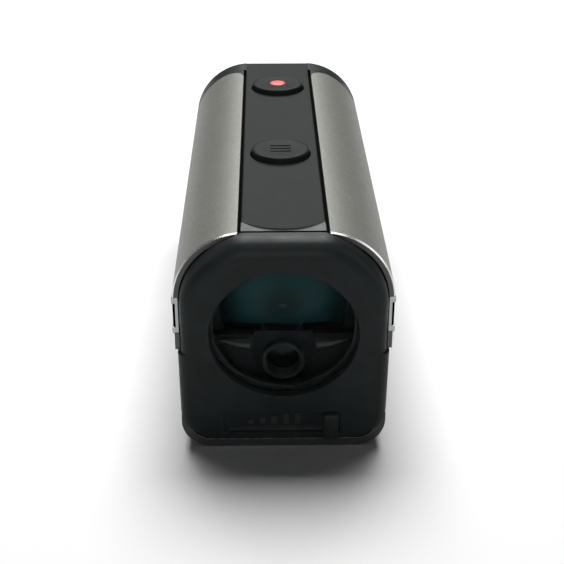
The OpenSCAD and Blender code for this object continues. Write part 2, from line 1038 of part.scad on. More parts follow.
module side_screws() {
    head = 0.5;
    color("#3a3a3a")
        for (y = [y_skirt - skirt_d / 4, y_tail + skirt_d / 4])
            both_sides()
                translate([body_w / 2 - bezel_inset - wall_t - 1.4, y, side_screw_z])
                    rotate([0, 90, 0])
                        cylinder(r = screw_r, h = wall_t + 1.4 - head / 2);
}

module board_screws() {
    color("#3a3a3a")
        for (y = post_ys(), side = [-1, 1])
            translate([side * post_x, y, button_board_top - board_t - 0.6]) {
                cylinder(r = 2 * board_screw_r, h = 0.6);
                cylinder(r = board_screw_r, h = board_t + 2.6);
            }
}

// ---------- Electronics ----------

module main_board() {
    color("#1f5a36")
        box([board_x, y_board, main_board_low], [board_x + board_t, y_board_end, main_board_top]);
}

module board_chips() {
    chips = [[8, 8], [5, 6], [6, 4], [3, 3], [7, 7]];
    color("#17181a")
        for (i = [0 : len(chips) - 1])
            box([board_x - 1, y_board + 3 + i * 9.5, optic_z - chips[i][1] / 2],
                [board_x, y_board + 3 + i * 9.5 + chips[i][0], optic_z + chips[i][1] / 2]);
}

module button_board() {
    color("#1f5a36")
        difference() {
            box([-strip_half, mode_y - 8, button_board_top - board_t],
                [strip_half, power_y + 8, button_board_top]);
            for (y = post_ys(), side = [-1, 1])
                translate([side * post_x, y, 0])
                    cylinder(r = board_screw_r, h = body_h);
        }
}

module switch_body(y) {
    translate([0, y, button_board_top])
        difference() {
            box([-switch_w / 2, -switch_w / 2, 0], [switch_w / 2, switch_w / 2, switch_h]);
            translate([0, 0, switch_h - plunger_in - button_travel - plunger_room])
                cylinder(r = plunger_r + run_gap, h = switch_h);
        }
}

module power_switch() {
    color("#303234")
        switch_body(power_y);
}

module mode_switch() {
    color("#303234")
        switch_body(mode_y);
}

// Ribbon from the button board down to the main board
module button_ribbon() {
    y0 = (post_ys()[0] + post_ys()[1] - ribbon_w) / 2;
    t = 0.2;
    z = button_board_top - board_t - t;
    x = board_x - 2.4;
    z_low = main_board_top - 2;
    color("#b5702a") {
        box([strip_half - 4, y0, z], [x + t, y0 + ribbon_w, z + t]);
        box([x, y0, z_low], [x + t, y0 + ribbon_w, z + t]);
        box([x, y0, z_low], [board_x, y0 + ribbon_w, z_low + t]);
        box([board_x - t, y0, z_low - 2], [board_x, y0 + ribbon_w, z_low + t]);
    }
}

module slide_board() {
    y0 = carriage_y() + carriage_t + fit_gap;
    low = carriage_low;
    color("#1f5a36")
        box([slot_left - 3, y0, low], [-slot_left + 3, y0 + slide_board_t, low + carriage_h]);
}

// ---------- Battery ----------

module battery_cradle() {
    color("#26292b")
        difference() {
            box([-cradle_half, y_cradle, floor_t], [cradle_half, y_cradle_end, cradle_top]);
            rod_y(cradle_r, y_cradle + end_wall, y_cradle_end - end_wall, battery_z);
            box([-cradle_r, y_cradle + end_wall, 0], [cradle_r, y_cradle_end - end_wall, battery_z]);
            box([-door_half - pass_gap, y_cradle - over, 0],
                [door_half + pass_gap, y_cradle_end + over, floor_t + pass_gap]);
        }
}

module battery_cell() {
    y1 = y_battery + battery_len;
    nub = 0.8;
    color("#5d6a3c") {
        rod_y(battery_r, y_battery + nub, y1, battery_z);
        rod_y(3, y_battery, y_battery + nub, battery_z);
    }
}

module contact_plate() {
    color("#c9cccf")
        box([-contact_half, y_cradle + end_wall, battery_low + 1],
            [contact_half, y_battery, battery_z + contact_half]);
}

// Bent leaf that presses on the flat end of the battery
module contact_leaf() {
    y0 = y_battery + battery_len;
    y1 = y_cradle_end - end_wall;
    color("#c9cccf")
        along_x(2.5)
            polygon([
                [y1 - contact_t, battery_low + 1],
                [y1, battery_low + 1],
                [y1, battery_z + contact_half],
                [y1 - contact_t, battery_z + contact_half],
                [y0, battery_z + 0.5],
                [y0, battery_z - 0.5],
                [y1 - contact_t, battery_low + 2],
            ]);
}

module door_pin() {
    half = door_half + pass_gap + ear_w - 0.5;
    color("#c9cccf")
        translate([-half, hinge_y, hinge_z])
            rotate([0, 90, 0])
                cylinder(r = pin_r, h = 2 * half);
}

module battery_door() {
    color("#3c3e41")
        difference() {
            union() {
                box([-door_half, y_door, door_low], [door_half, hinge_y, floor_t]);
                translate([-door_half, hinge_y, hinge_z])
                    rotate([0, 90, 0])
                        cylinder(r = barrel_hinge_r, h = 2 * door_half);
                box([-3, y_door + 0.2, floor_t / 2], [3, y_door + 0.2 + nib_d, floor_t + 1.2]);
            }
            translate([-door_half - over, hinge_y, hinge_z])
                rotate([0, 90, 0])
                    cylinder(r = pin_r + run_gap, h = 2 * (door_half + over));
            for (i = [0 : 3])
                box([-4, y_door + 2.5 + i * 1.4, 0], [4, y_door + 3.1 + i * 1.4, door_low + 0.3]);
        }
}

// ---------- Buttons ----------

module button_cap(y) {
    rim = 0.35;
    translate([0, y, 0]) {
        translate([0, 0, flange_top - flange_t])
            cylinder(r = flange_r, h = flange_t);
        translate([0, 0, flange_top - fit_gap])
            cylinder(r = button_r, h = button_top - rim - flange_top + fit_gap);
        translate([0, 0, button_top - rim])
            cylinder(r1 = button_r, r2 = button_r - rim, h = rim);
    }
}

module button_plunger(y) {
    translate([0, y, switch_top - plunger_in])
        cylinder(r = plunger_r, h = flange_top - flange_t - switch_top + plunger_in);
}

module power_cap() {
    color("#34373a")
        difference() {
            button_cap(power_y);
            translate([0, power_y, button_top - dot_depth])
                cylinder(r = dot_r, h = over);
        }
}

// Low dome set into the power button
module power_dot() {
    rise = 0.25;
    ball = (dot_r * dot_r + rise * rise) / (2 * rise);
    color("#e5252a")
        translate([0, power_y, button_top - dot_depth])
            rotate_extrude()
                intersection() {
                    square([dot_r, dot_depth + rise]);
                    translate([0, dot_depth + rise - dot_sink - ball])
                        circle(r = ball, $fn = 720);
                }
}

module power_plunger() {
    color("#d8d8d4")
        button_plunger(power_y);
}

// Three bars let into the mode button
module mode_cap() {
    color("#34373a")
        difference() {
            button_cap(mode_y);
            for (i = [-1 : 1])
                box([-2.2, mode_y + i * 1.6 - 0.3, button_top - 0.25],
                    [2.2, mode_y + i * 1.6 + 0.3, button_top + over]);
        }
}

module mode_plunger() {
    color("#d8d8d4")
        button_plunger(mode_y);
}

// ---------- Slide switch ----------

function carriage_y() = face_y(slot_low) + plate_t + pass_gap;

module slide_knob() {
    low = (knob_low - window_z) / cos(face_lean);
    high = low + knob_h / cos(face_lean);
    color("#2c3033")
        on_face() {
            intersection() {
                box([knob_x - knob_w / 2, low, 0.05], [knob_x + knob_w / 2, high, knob_out - pocket_d]);
                union() {
                    box([0, low - over, -over], [body_w, high - 0.7, knob_out]);
                    box([knob_x - knob_w / 2 + 0.7, low - over, -over],
                        [knob_x + knob_w / 2 - 0.7, high, knob_out]);
                    for (side = [-1, 1])
                        translate([knob_x + side * (knob_w / 2 - 0.7), high - 0.7, -over])
                            cylinder(r = 0.7, h = knob_out + over);
                }
            }
            box([knob_x - stem_half, slot_mid - stem_h / 2, -plate_t],
                [knob_x + stem_half, slot_mid + stem_h / 2, 0.1]);
        }
}

module slide_carriage() {
    y0 = carriage_y();
    color("#d8d8d4")
        difference() {
            union() {
                box([knob_x - carriage_w / 2, y0, carriage_low],
                    [knob_x + carriage_w / 2, y0 + carriage_t, carriage_low + carriage_h]);
                box([knob_x - stem_half, y0 - 0.8, slot_low + pass_gap + slot_rise],
                    [knob_x + stem_half, y0, slot_low + pass_gap + slot_rise + stem_h]);
            }
            on_face()
                translate([0, 0, -plate_t])
                    linear_extrude(body_h)
                        square(3 * body_h, center = true);
        }
}

// ---------- Eyepiece ----------

module eyepiece_sleeve() {
    color("#1f2224")
        difference() {
            union() {
                rod_y(sleeve_r, y_back - 10, lip_y + lip_t, optic_z);
                rod_y(sleeve_r + 0.8, lip_y, lip_y + lip_t, optic_z);
            }
            rod_y(sleeve_in, y_back - 10 - over, y_end, optic_z);
        }
}

module dioptre_ring() {
    y0 = y_back + pass_gap;
    color("#26292b")
        difference() {
            rod_y(ring_r, y0, y0 + ring_len, optic_z);
            rod_y(sleeve_r + run_gap, y0 - over, y0 + ring_len + over, optic_z);
            for (i = [0 : flutes - 1])
                rotate_about_axis(i * 360 / flutes)
                    rod_y(0.5, y0 + 0.6, y0 + ring_len - 0.6, optic_z + ring_r + 0.15);
        }
}

// Turns its children about the optical axis
module rotate_about_axis(a) {
    translate([0, 0, optic_z])
        rotate([0, a, 0])
            translate([0, 0, -optic_z])
                children();
}

module eyepiece_barrel() {
    color("#1a1c1e")
        tube_y(barrel_r, lens_r, y_barrel, y_barrel + barrel_len, optic_z);
}

module field_lens() {
    color("#7fa3a8", 0.4)
        lens(lens_r, 1.6, 1, y_barrel + 3, optic_z);
}

module eye_lens() {
    color("#7fa3a8", 0.4)
        lens(lens_r, 2, 1.4, y_barrel + barrel_len - 5, optic_z);
}

module eyecup() {
    lip_in = lens_r - 0.4;
    color("#151617")
        translate([0, 0, optic_z])
            rotate([-90, 0, 0])
                rotate_extrude()
                    polygon([
                        [barrel_r, y_cup],
                        [eyecup_r - 0.6, y_cup],
                        [eyecup_r, y_cup + 0.6],
                        [eyecup_r - 0.2, y_end - 1.6],
                        [eyecup_r - 1, y_end - 0.3],
                        [eyecup_r - 1.8, y_end],
                        [eyecup_r - 2.6, y_end - 0.4],
                        [lip_in, y_barrel + barrel_len + 0.8],
                        [lip_in, y_barrel + barrel_len],
                        [barrel_r, y_barrel + barrel_len],
                    ]);
}

front_bezel();
front_window();
window_seal();
window_retainer();
baffle_plate();
objective_cell();
objective_lens();
laser_tube();
laser_lens();
laser_diode();
front_bulkhead();
housing();
left_shell();
right_shell();
left_trim_frame();
right_trim_frame();
left_trim_insert();
right_trim_insert();
top_strip();
bottom_tray();
rear_bezel();
eyepiece_sleeve();
prism_cage();
roof_prism();
half_prism();
detector_can();
detector_board();
display_frame();
display();
main_board();
board_chips();
button_board();
power_switch();
mode_switch();
button_ribbon();
slide_board();
battery_cradle();
battery_cell();
contact_plate();
contact_leaf();
door_pin();
tripod_bush();
tray_screws();
side_screws();
board_screws();
power_cap();
power_dot();
power_plunger();
mode_cap();
mode_plunger();
slide_knob();
slide_carriage();
eyepiece_barrel();
field_lens();
eye_lens();
eyecup();
dioptre_ring();
battery_door();
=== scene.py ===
"""Looks of a compact laser speed and range finder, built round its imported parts.

Lengths in the dataclasses are in millimetres; meshes are made in metres. +Z is up,
the front window looks along -Y and the eyepiece along +Y.
"""

from __future__ import annotations

import logging
import math
from dataclasses import dataclass, field
from enum import Enum
from typing import Callable, Iterable, Sequence

import bmesh
import bpy
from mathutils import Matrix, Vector


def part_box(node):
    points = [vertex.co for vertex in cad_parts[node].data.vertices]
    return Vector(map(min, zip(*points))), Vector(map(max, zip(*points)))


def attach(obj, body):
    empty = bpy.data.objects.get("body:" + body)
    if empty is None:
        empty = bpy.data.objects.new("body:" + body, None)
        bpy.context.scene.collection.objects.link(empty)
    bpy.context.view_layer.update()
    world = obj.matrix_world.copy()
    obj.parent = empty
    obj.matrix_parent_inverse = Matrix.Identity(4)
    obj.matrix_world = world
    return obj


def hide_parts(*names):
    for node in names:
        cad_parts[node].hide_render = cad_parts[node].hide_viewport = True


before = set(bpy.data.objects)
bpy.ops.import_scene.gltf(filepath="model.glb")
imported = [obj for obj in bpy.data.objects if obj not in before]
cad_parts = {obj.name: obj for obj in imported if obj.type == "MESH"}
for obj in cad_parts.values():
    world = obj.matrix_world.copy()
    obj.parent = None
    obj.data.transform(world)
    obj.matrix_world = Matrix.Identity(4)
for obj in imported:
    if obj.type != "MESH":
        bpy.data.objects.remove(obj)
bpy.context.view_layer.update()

MM = 0.001
WELD = 1e-6
ON_AXIS = 1e-6
log = logging.getLogger("range_finder")

Point = tuple[float, float, float]
Point2 = tuple[float, float]
Rgb = tuple[float, float, float]
Placing = Callable[[float, float, float], Point]


class Body(Enum):
    """Bodies of the part that pieces ride on."""

    CASE = "case"
    POWER = "power_button"
    MODE = "mode_button"
    SLIDE = "slide_switch"
    EYEPIECE = "eyepiece"
    DIOPTRE = "dioptre"


class Slot(Enum):
    """Material slots that pieces take their finish from."""

    BLACK_CASE = "black_case"
    SHELL_METAL = "shell_metal"
    STRIP_BLACK = "strip_black"
    TRIM_CHROME = "trim_chrome"
    TRIM_INSERT = "trim_insert"
    TRAY_METAL = "tray_metal"
    WINDOW_GLASS = "window_glass"
    LENS_GLASS = "lens_glass"
    INNER_BLACK = "inner_black"
    SEAL_RUBBER = "seal_rubber"
    BUTTON_BLACK = "button_black"
    DOT_RED = "dot_red"
    SWITCH_WHITE = "switch_white"
    BOARD_GREEN = "board_green"
    CHIP_BLACK = "chip_black"
    RIBBON_AMBER = "ribbon_amber"
    CONTACT_STEEL = "contact_steel"
    SCREW_STEEL = "screw_steel"
    BUSH_BRASS = "bush_brass"
    CAN_GOLD = "can_gold"
    CELL_LABEL = "cell_label"
    DISPLAY_GLASS = "display_glass"


# ---------- Finishes ----------


class NodeBench:
    """Lays out the nodes of one material and links them."""

    def __init__(self, name: str) -> None:
        """Start an empty material.

        Args:
            name: The material's name.
        """
        self.material = bpy.data.materials.new(name)
        self.material.use_nodes = True
        self.tree = self.material.node_tree
        self.tree.nodes.clear()
        self.output = self.tree.nodes.new("ShaderNodeOutputMaterial")
        self.shader = self.tree.nodes.new("ShaderNodeBsdfPrincipled")
        self.link(self.shader.outputs[0], self.output.inputs["Surface"])
        self._coords = self.tree.nodes.new("ShaderNodeTexCoord")

    def link(self, source: bpy.types.NodeSocket, target: bpy.types.NodeSocket) -> None:
        """Join an output socket to an input socket."""
        self.tree.links.new(source, target)

    def put(self, **values: object) -> None:
        """Set the shader's own sockets, named with underscores for spaces."""
        for name, value in values.items():
            self.shader.inputs[name.replace("_", " ")].default_value = value

    def place(self, scale: Point = (1, 1, 1)) -> bpy.types.NodeSocket:
        """Coordinates in the piece, stretched along each axis.

        Args:
            scale: How many times each axis is multiplied.

        Returns:
            The vector socket.
        """
        node = self.tree.nodes.new("ShaderNodeMapping")
        node.inputs["Scale"].default_value = scale
        self.link(self._coords.outputs["Object"], node.inputs["Vector"])
        return node.outputs[0]

    def noise(self, grain_mm: float, detail: float = 2.0, rough: float = 0.5,
              stretch: Point = (1, 1, 1)) -> bpy.types.NodeSocket:
        """A noise value with features of about grain_mm.

        Args:
            grain_mm: Size of the features in millimetres.
            detail: Octaves of finer noise.
            rough: Strength of the finer octaves.
            stretch: How many times each axis is squeezed.

        Returns:
            The value socket.
        """
        node = self.tree.nodes.new("ShaderNodeTexNoise")
        node.inputs["Scale"].default_value = 1.0 / (grain_mm * MM)
        node.inputs["Detail"].default_value = detail
        node.inputs["Roughness"].default_value = rough
        self.link(self.place(stretch), node.inputs["Vector"])
        return node.outputs[0]

    def cells(self, size_mm: float, feature: str = "F1") -> bpy.types.NodeSocket:
        """Distance to the nearest of scattered cells.

        Args:
            size_mm: Size of a cell in millimetres.
            feature: Which distance the cells give.

        Returns:
            The value socket.
        """
        node = self.tree.nodes.new("ShaderNodeTexVoronoi")
        node.feature = feature
        node.inputs["Scale"].default_value = 1.0 / (size_mm * MM)
        self.link(self.place(), node.inputs["Vector"])
        return node.outputs["Distance"]

    def waves(self, pitch_mm: float, axis: str, distortion: float = 0.0) -> bpy.types.NodeSocket:
        """Bands across one axis.

        Args:
            pitch_mm: Distance from band to band in millimetres.
            axis: X, Y or Z.
            distortion: How far the bands wander.

        Returns:
            The value socket.
        """
        node = self.tree.nodes.new("ShaderNodeTexWave")
        node.bands_direction = axis
        node.inputs["Scale"].default_value = math.pi / 10.0 / (pitch_mm * MM)
        node.inputs["Distortion"].default_value = distortion
        self.link(self.place(), node.inputs["Vector"])
        return node.outputs["Fac"]

    def off_axis(self, height_mm: float) -> bpy.types.NodeSocket:
        """Distance, in metres, from an axis that runs along Y.

        Args:
            height_mm: Height of the axis in millimetres.

        Returns:
            The value socket.
        """
        node = self.tree.nodes.new("ShaderNodeVectorMath")
        node.operation = "DISTANCE"
        node.inputs[1].default_value = (0.0, 0.0, height_mm * MM)
        self.link(self.place((1, 0, 1)), node.inputs[0])
        return node.outputs["Value"]

    def span(self, source: bpy.types.NodeSocket, low: float, high: float, to_low: float,
             to_high: float) -> bpy.types.NodeSocket:
        """Map a value from one range onto another.

        Args:
            source: The value socket.
            low: Start of the range it has.
            high: End of the range it has.
            to_low: Start of the range it gets.
            to_high: End of the range it gets.

        Returns:
            The mapped value socket.
        """
        node = self.tree.nodes.new("ShaderNodeMapRange")
        for name, value in (("From Min", low), ("From Max", high), ("To Min", to_low),
                            ("To Max", to_high)):
            node.inputs[name].default_value = value
        self.link(source, node.inputs["Value"])
        return node.outputs[0]

    def blend(self, factor: bpy.types.NodeSocket, first: Rgb | bpy.types.NodeSocket,
              second: Rgb | bpy.types.NodeSocket) -> bpy.types.NodeSocket:
        """Mix two colours.

        Args:
            factor: 0 for the first colour and 1 for the second.
            first: A colour or a colour socket.
            second: A colour or a colour socket.

        Returns:
            The mixed colour socket.
        """
        node = self.tree.nodes.new("ShaderNodeMix")
        node.data_type = "RGBA"
        self.link(factor, node.inputs[0])
        for socket, colour in ((node.inputs[6], first), (node.inputs[7], second)):
            if isinstance(colour, tuple):
                socket.default_value = (*colour, 1.0)
            else:
                self.link(colour, socket)
        return node.outputs[2]

    def edges(self, radius_mm: float) -> bpy.types.NodeSocket:
        """Find a piece's edges.

        Args:
            radius_mm: How far from an edge it still counts, in millimetres.

        Returns:
            A value socket, 1 on convex and concave edges and 0 on flats.
        """
        soft = self.tree.nodes.new("ShaderNodeBevel")
        soft.samples = 4
        soft.inputs["Radius"].default_value = radius_mm * MM
        hard = self.tree.nodes.new("ShaderNodeNewGeometry")
        dot = self.tree.nodes.new("ShaderNodeVectorMath")
        dot.operation = "DOT_PRODUCT"
        self.link(soft.outputs[0], dot.inputs[0])
        self.link(hard.outputs["Normal"], dot.inputs[1])
        return self.span(dot.outputs["Value"], 0.995, 0.86, 0.0, 1.0)

    def times(self, first: bpy.types.NodeSocket, second: bpy.types.NodeSocket | float,
              kind: str = "MULTIPLY") -> bpy.types.NodeSocket:
        """Combine two values, by default as a product.

        Args:
            first: A value socket.
            second: A value socket or a number.
            kind: The sum to be done.

        Returns:
            The value socket.
        """
        node = self.tree.nodes.new("ShaderNodeMath")
        node.operation = kind
        self.link(first, node.inputs[0])
        if isinstance(second, float):
            node.inputs[1].default_value = second
        else:
            self.link(second, node.inputs[1])
        return node.outputs[0]

    def emboss(self, height: bpy.types.NodeSocket, depth_mm: float,
               strength: float = 1.0) -> bpy.types.NodeSocket:
        """Turn a height into a surface normal.

        Args:
            height: The height, from 0 to 1.
            depth_mm: What a height of 1 stands for.
            strength: How much of it shows.

        Returns:
            The normal socket.
        """
        node = self.tree.nodes.new("ShaderNodeBump")
        node.inputs["Strength"].default_value = strength
        node.inputs["Distance"].default_value = depth_mm * MM
        self.link(height, node.inputs["Height"])
        return node.outputs[0]


@dataclass(frozen=True)
class MouldedPlastic:
    """Moulded plastic with a spark-eroded grain, faint flow marks and rubbed edges."""

    name: str
    colour: Rgb
    rough: float = 0.5
    grain_mm: float = 0.22
    grain_depth_mm: float = 0.012
    mottle: float = 0.16
    rubbed: Rgb = (0.045, 0.048, 0.050)
    rubbed_share: float = 0.35
    edge_mm: float = 0.25
    specular: float = 0.11
    rough_swing: float = 0.065

    def make(self) -> bpy.types.Material:
        """Build the material.

        Returns:
            The material.
        """
        bench = NodeBench(self.name)
        broad = bench.noise(7.0, 3.0, 0.6)
        grain = bench.noise(self.grain_mm, 2.0, 0.55)
        dark = tuple(c * (1 - self.mottle) for c in self.colour)
        light = tuple(c * (1 + self.mottle) for c in self.colour)
        base = bench.blend(bench.span(broad, 0.35, 0.65, 0.0, 1.0), dark, light)
        wear = bench.times(bench.edges(self.edge_mm), bench.span(bench.noise(1.1, 4.0, 0.65),
                                                                 0.42, 0.62, 0.0, 1.0))
        worn = bench.blend(bench.times(wear, self.rubbed_share), base, self.rubbed)
        bench.link(worn, bench.shader.inputs["Base Color"])
        rough = bench.span(bench.noise(2.4, 4.0, 0.6), 0.3, 0.7,
                           self.rough - self.rough_swing, self.rough + self.rough_swing)
        bench.link(rough, bench.shader.inputs["Roughness"])
        bench.put(Specular_IOR_Level=self.specular)
        bench.link(bench.emboss(grain, self.grain_depth_mm, 0.55), bench.shader.inputs["Normal"])
        return bench.material


@dataclass(frozen=True)
class SatinMetal:
    """Bead-blasted, anodised or painted metal with a fine sparkle and brighter edges."""

    name: str
    colour: Rgb
    rough: float = 0.36
    metallic: float = 0.9
    grain_mm: float = 0.11
    grain_depth_mm: float = 0.006
    sparkle: float = 0.22
    edge_colour: Rgb = (0.75, 0.74, 0.72)
    edge_share: float = 0.5
    specular: float = 0.5

    def make(self) -> bpy.types.Material:
        """Build the material.

        Returns:
            The material.
        """
        bench = NodeBench(self.name)
        flakes = bench.noise(self.grain_mm, 1.0, 0.5)
        cloud = bench.noise(11.0, 2.0, 0.5)
        low = tuple(c * (1 - self.sparkle) for c in self.colour)
        high = tuple(min(1.0, c * (1 + self.sparkle)) for c in self.colour)
        base = bench.blend(bench.span(flakes, 0.3, 0.7, 0.0, 1.0), low, high)
        shade = tuple(c * 0.93 for c in self.colour)
        base = bench.blend(bench.times(bench.span(cloud, 0.35, 0.7, 0.0, 1.0), 0.35), base, shade)
        nicks = bench.span(bench.noise(0.9, 4.0, 0.7), 0.45, 0.6, 0.35, 1.0)
        wear = bench.times(bench.times(bench.edges(0.2), nicks), self.edge_share)
        bench.link(bench.blend(wear, base, self.edge_colour), bench.shader.inputs["Base Color"])
        rough = bench.span(bench.noise(1.6, 4.0, 0.6), 0.3, 0.7, self.rough - 0.04,
                           self.rough + 0.05)
        bench.link(rough, bench.shader.inputs["Roughness"])
        bench.put(Metallic=self.metallic, Specular_IOR_Level=self.specular)
        bench.link(bench.emboss(flakes, self.grain_depth_mm, 0.6), bench.shader.inputs["Normal"])
        return bench.material


@dataclass(frozen=True)
class BrightMetal:
    """Plated or machined metal with hairlines along one axis."""

    name: str
    colour: Rgb
    rough: float = 0.18
    hair: Point = (1.0, 0.06, 1.0)
    hair_mm: float = 0.05
    tarnish: Rgb = (0.28, 0.27, 0.25)
    tarnish_share: float = 0.25

    def make(self) -> bpy.types.Material:
        """Build the material.

        Returns:
            The material.
        """
        bench = NodeBench(self.name)
        hair = bench.noise(self.hair_mm, 2.0, 0.6, self.hair)
        spots = bench.span(bench.noise(3.0, 4.0, 0.65), 0.5, 0.75, 0.0, self.tarnish_share)
        bench.link(bench.blend(spots, self.colour, self.tarnish),
                   bench.shader.inputs["Base Color"])
        bench.link(bench.span(hair, 0.3, 0.7, self.rough - 0.05, self.rough + 0.1),
                   bench.shader.inputs["Roughness"])
        bench.put(Metallic=1.0)
        bench.link(bench.emboss(hair, 0.003, 0.5), bench.shader.inputs["Normal"])
        return bench.material


@dataclass(frozen=True)
class CoatedGlass:
    """Optical glass with a tinted base colour; on a lens that lets little light through, the tint
    is a painted reflection of its coating.
    """

    name: str
    colour: Rgb
    ior: float
    clear: float
    specular: float = 0.5
    rough: float = 0.0
    # painted reflection: radii in mm where the tint rises, stays bright and falls again
    painted_reflection_ring: tuple[float, float, float, float] | None = None
    axis_z: float = 27.0
    # share of the tint left inside and outside the painted reflection ring
    off_ring: float = 0.35

    def make(self) -> bpy.types.Material:
        """Build the material, with a painted reflection: the tint bright in a ring, where one is
        given.

        Returns:
            The material.
        """
        bench = NodeBench(self.name)
        tint = bench.blend(bench.span(bench.noise(6.0, 2.0, 0.5), 0.3, 0.7, 0.0, 1.0),
                           self.colour, tuple(c * 0.88 for c in self.colour))
        # painted reflection: tint weakened near the axis and far from it, bright in the ring
        # between
        if self.painted_reflection_ring:
            r = [radius * MM for radius in self.painted_reflection_ring]
            weak = tuple(c * self.off_ring for c in self.colour)
            away = bench.off_axis(self.axis_z)
            tint = bench.blend(bench.span(away, r[0], r[1], 0.0, 1.0), weak, tint)
            tint = bench.blend(bench.span(away, r[2], r[3], 0.0, 1.0), tint, weak)
        bench.link(tint, bench.shader.inputs["Base Color"])
        bench.put(Transmission_Weight=self.clear, IOR=self.ior, Roughness=self.rough,
                  Specular_IOR_Level=self.specular)
        return bench.material


@dataclass(frozen=True)
class Rubber:
    """Soft matt rubber with a bloom and a fine pebble."""

    name: str
    colour: Rgb
    rough: float = 0.72

    def make(self) -> bpy.types.Material:
        """Build the material.

        Returns:
            The material.
        """
        bench = NodeBench(self.name)
        bloom = bench.span(bench.noise(4.5, 5.0, 0.65), 0.4, 0.75, 0.0, 0.5)
        pale = tuple(c * 2.0 + 0.006 for c in self.colour)
        bench.link(bench.blend(bloom, self.colour, pale), bench.shader.inputs["Base Color"])
        bench.link(bench.span(bench.noise(1.0, 3.0), 0.3, 0.7, self.rough - 0.05,
                              self.rough + 0.08), bench.shader.inputs["Roughness"])
        bench.put(Specular_IOR_Level=0.3, Sheen_Weight=0.12, Sheen_Roughness=0.5)
        bench.link(bench.emboss(bench.cells(0.16), 0.012, 0.6), bench.shader.inputs["Normal"])
        return bench.material


@dataclass(frozen=True)
class CircuitBoard:
    """Lacquered board with copper tracks under the lacquer and bare pads."""

    name: str
    colour: Rgb
    track: Rgb
    pad: Rgb = (0.75, 0.66, 0.42)

    def make(self) -> bpy.types.Material:
        """Build the material.

        Returns:
            The material.
        """
        bench = NodeBench(self.name)
        runs = bench.span(bench.times(bench.waves(1.3, "Y", 3.0), bench.waves(1.7, "Z", 2.0),
                                      "MAXIMUM"), 0.86, 0.92, 0.0, 1.0)
        base = bench.blend(runs, self.colour, self.track)
        pads = bench.span(bench.cells(2.3), 0.16, 0.13, 0.0, 1.0)
        bench.link(bench.blend(pads, base, self.pad), bench.shader.inputs["Base Color"])
        bench.link(bench.span(bench.noise(1.4, 3.0), 0.3, 0.7, 0.25, 0.4),
                   bench.shader.inputs["Roughness"])
        bench.link(bench.emboss(runs, 0.03, 0.6), bench.shader.inputs["Normal"])
        return bench.material


@dataclass(frozen=True)
class BandedFilm:
    """Printed film or foil with plain bands across one axis."""

    name: str
    colour: Rgb
    band: Rgb
    pitch_mm: float
    axis: str
    rough: float = 0.35
    metallic: float = 0.0
    width: float = 0.55

    def make(self) -> bpy.types.Material:
        """Build the material.

        Returns:
            The material.
        """
        bench = NodeBench(self.name)
        bands = bench.span(bench.waves(self.pitch_mm, self.axis), self.width, self.width + 0.06,
                           0.0, 1.0)
        scuffs = bench.span(bench.noise(2.2, 4.0, 0.7), 0.55, 0.75, 0.0, 0.35)
        base = bench.blend(bands, self.colour, self.band)
        bench.link(bench.blend(scuffs, base, tuple(c * 0.7 for c in self.colour)),
                   bench.shader.inputs["Base Color"])
        bench.link(bench.span(bench.noise(0.8, 3.0), 0.3, 0.7, self.rough - 0.06,
                              self.rough + 0.08), bench.shader.inputs["Roughness"])
        bench.put(Metallic=self.metallic)
        bench.link(bench.emboss(bench.noise(0.3, 2.0), 0.006, 0.5), bench.shader.inputs["Normal"])
        return bench.material


@dataclass(frozen=True)
class GlossEnamel:
    """Clear-coated enamel with a slight pool of colour."""

    name: str
    colour: Rgb
    rough: float = 0.22
    coat: float = 0.5

    def make(self) -> bpy.types.Material:
        """Build the material.

        Returns:
            The material.
        """
        bench = NodeBench(self.name)
        pool = bench.span(bench.noise(0.9, 3.0), 0.3, 0.7, 0.0, 1.0)
        bench.link(bench.blend(pool, self.colour, tuple(c * 0.78 for c in self.colour)),
                   bench.shader.inputs["Base Color"])
        bench.link(bench.span(bench.noise(0.5, 3.0), 0.3, 0.7, self.rough - 0.04,
                              self.rough + 0.06), bench.shader.inputs["Roughness"])
        bench.put(Coat_Weight=self.coat, Coat_Roughness=0.1)
        bench.link(bench.emboss(bench.noise(0.25, 1.0), 0.004, 0.5), bench.shader.inputs["Normal"])
        return bench.material


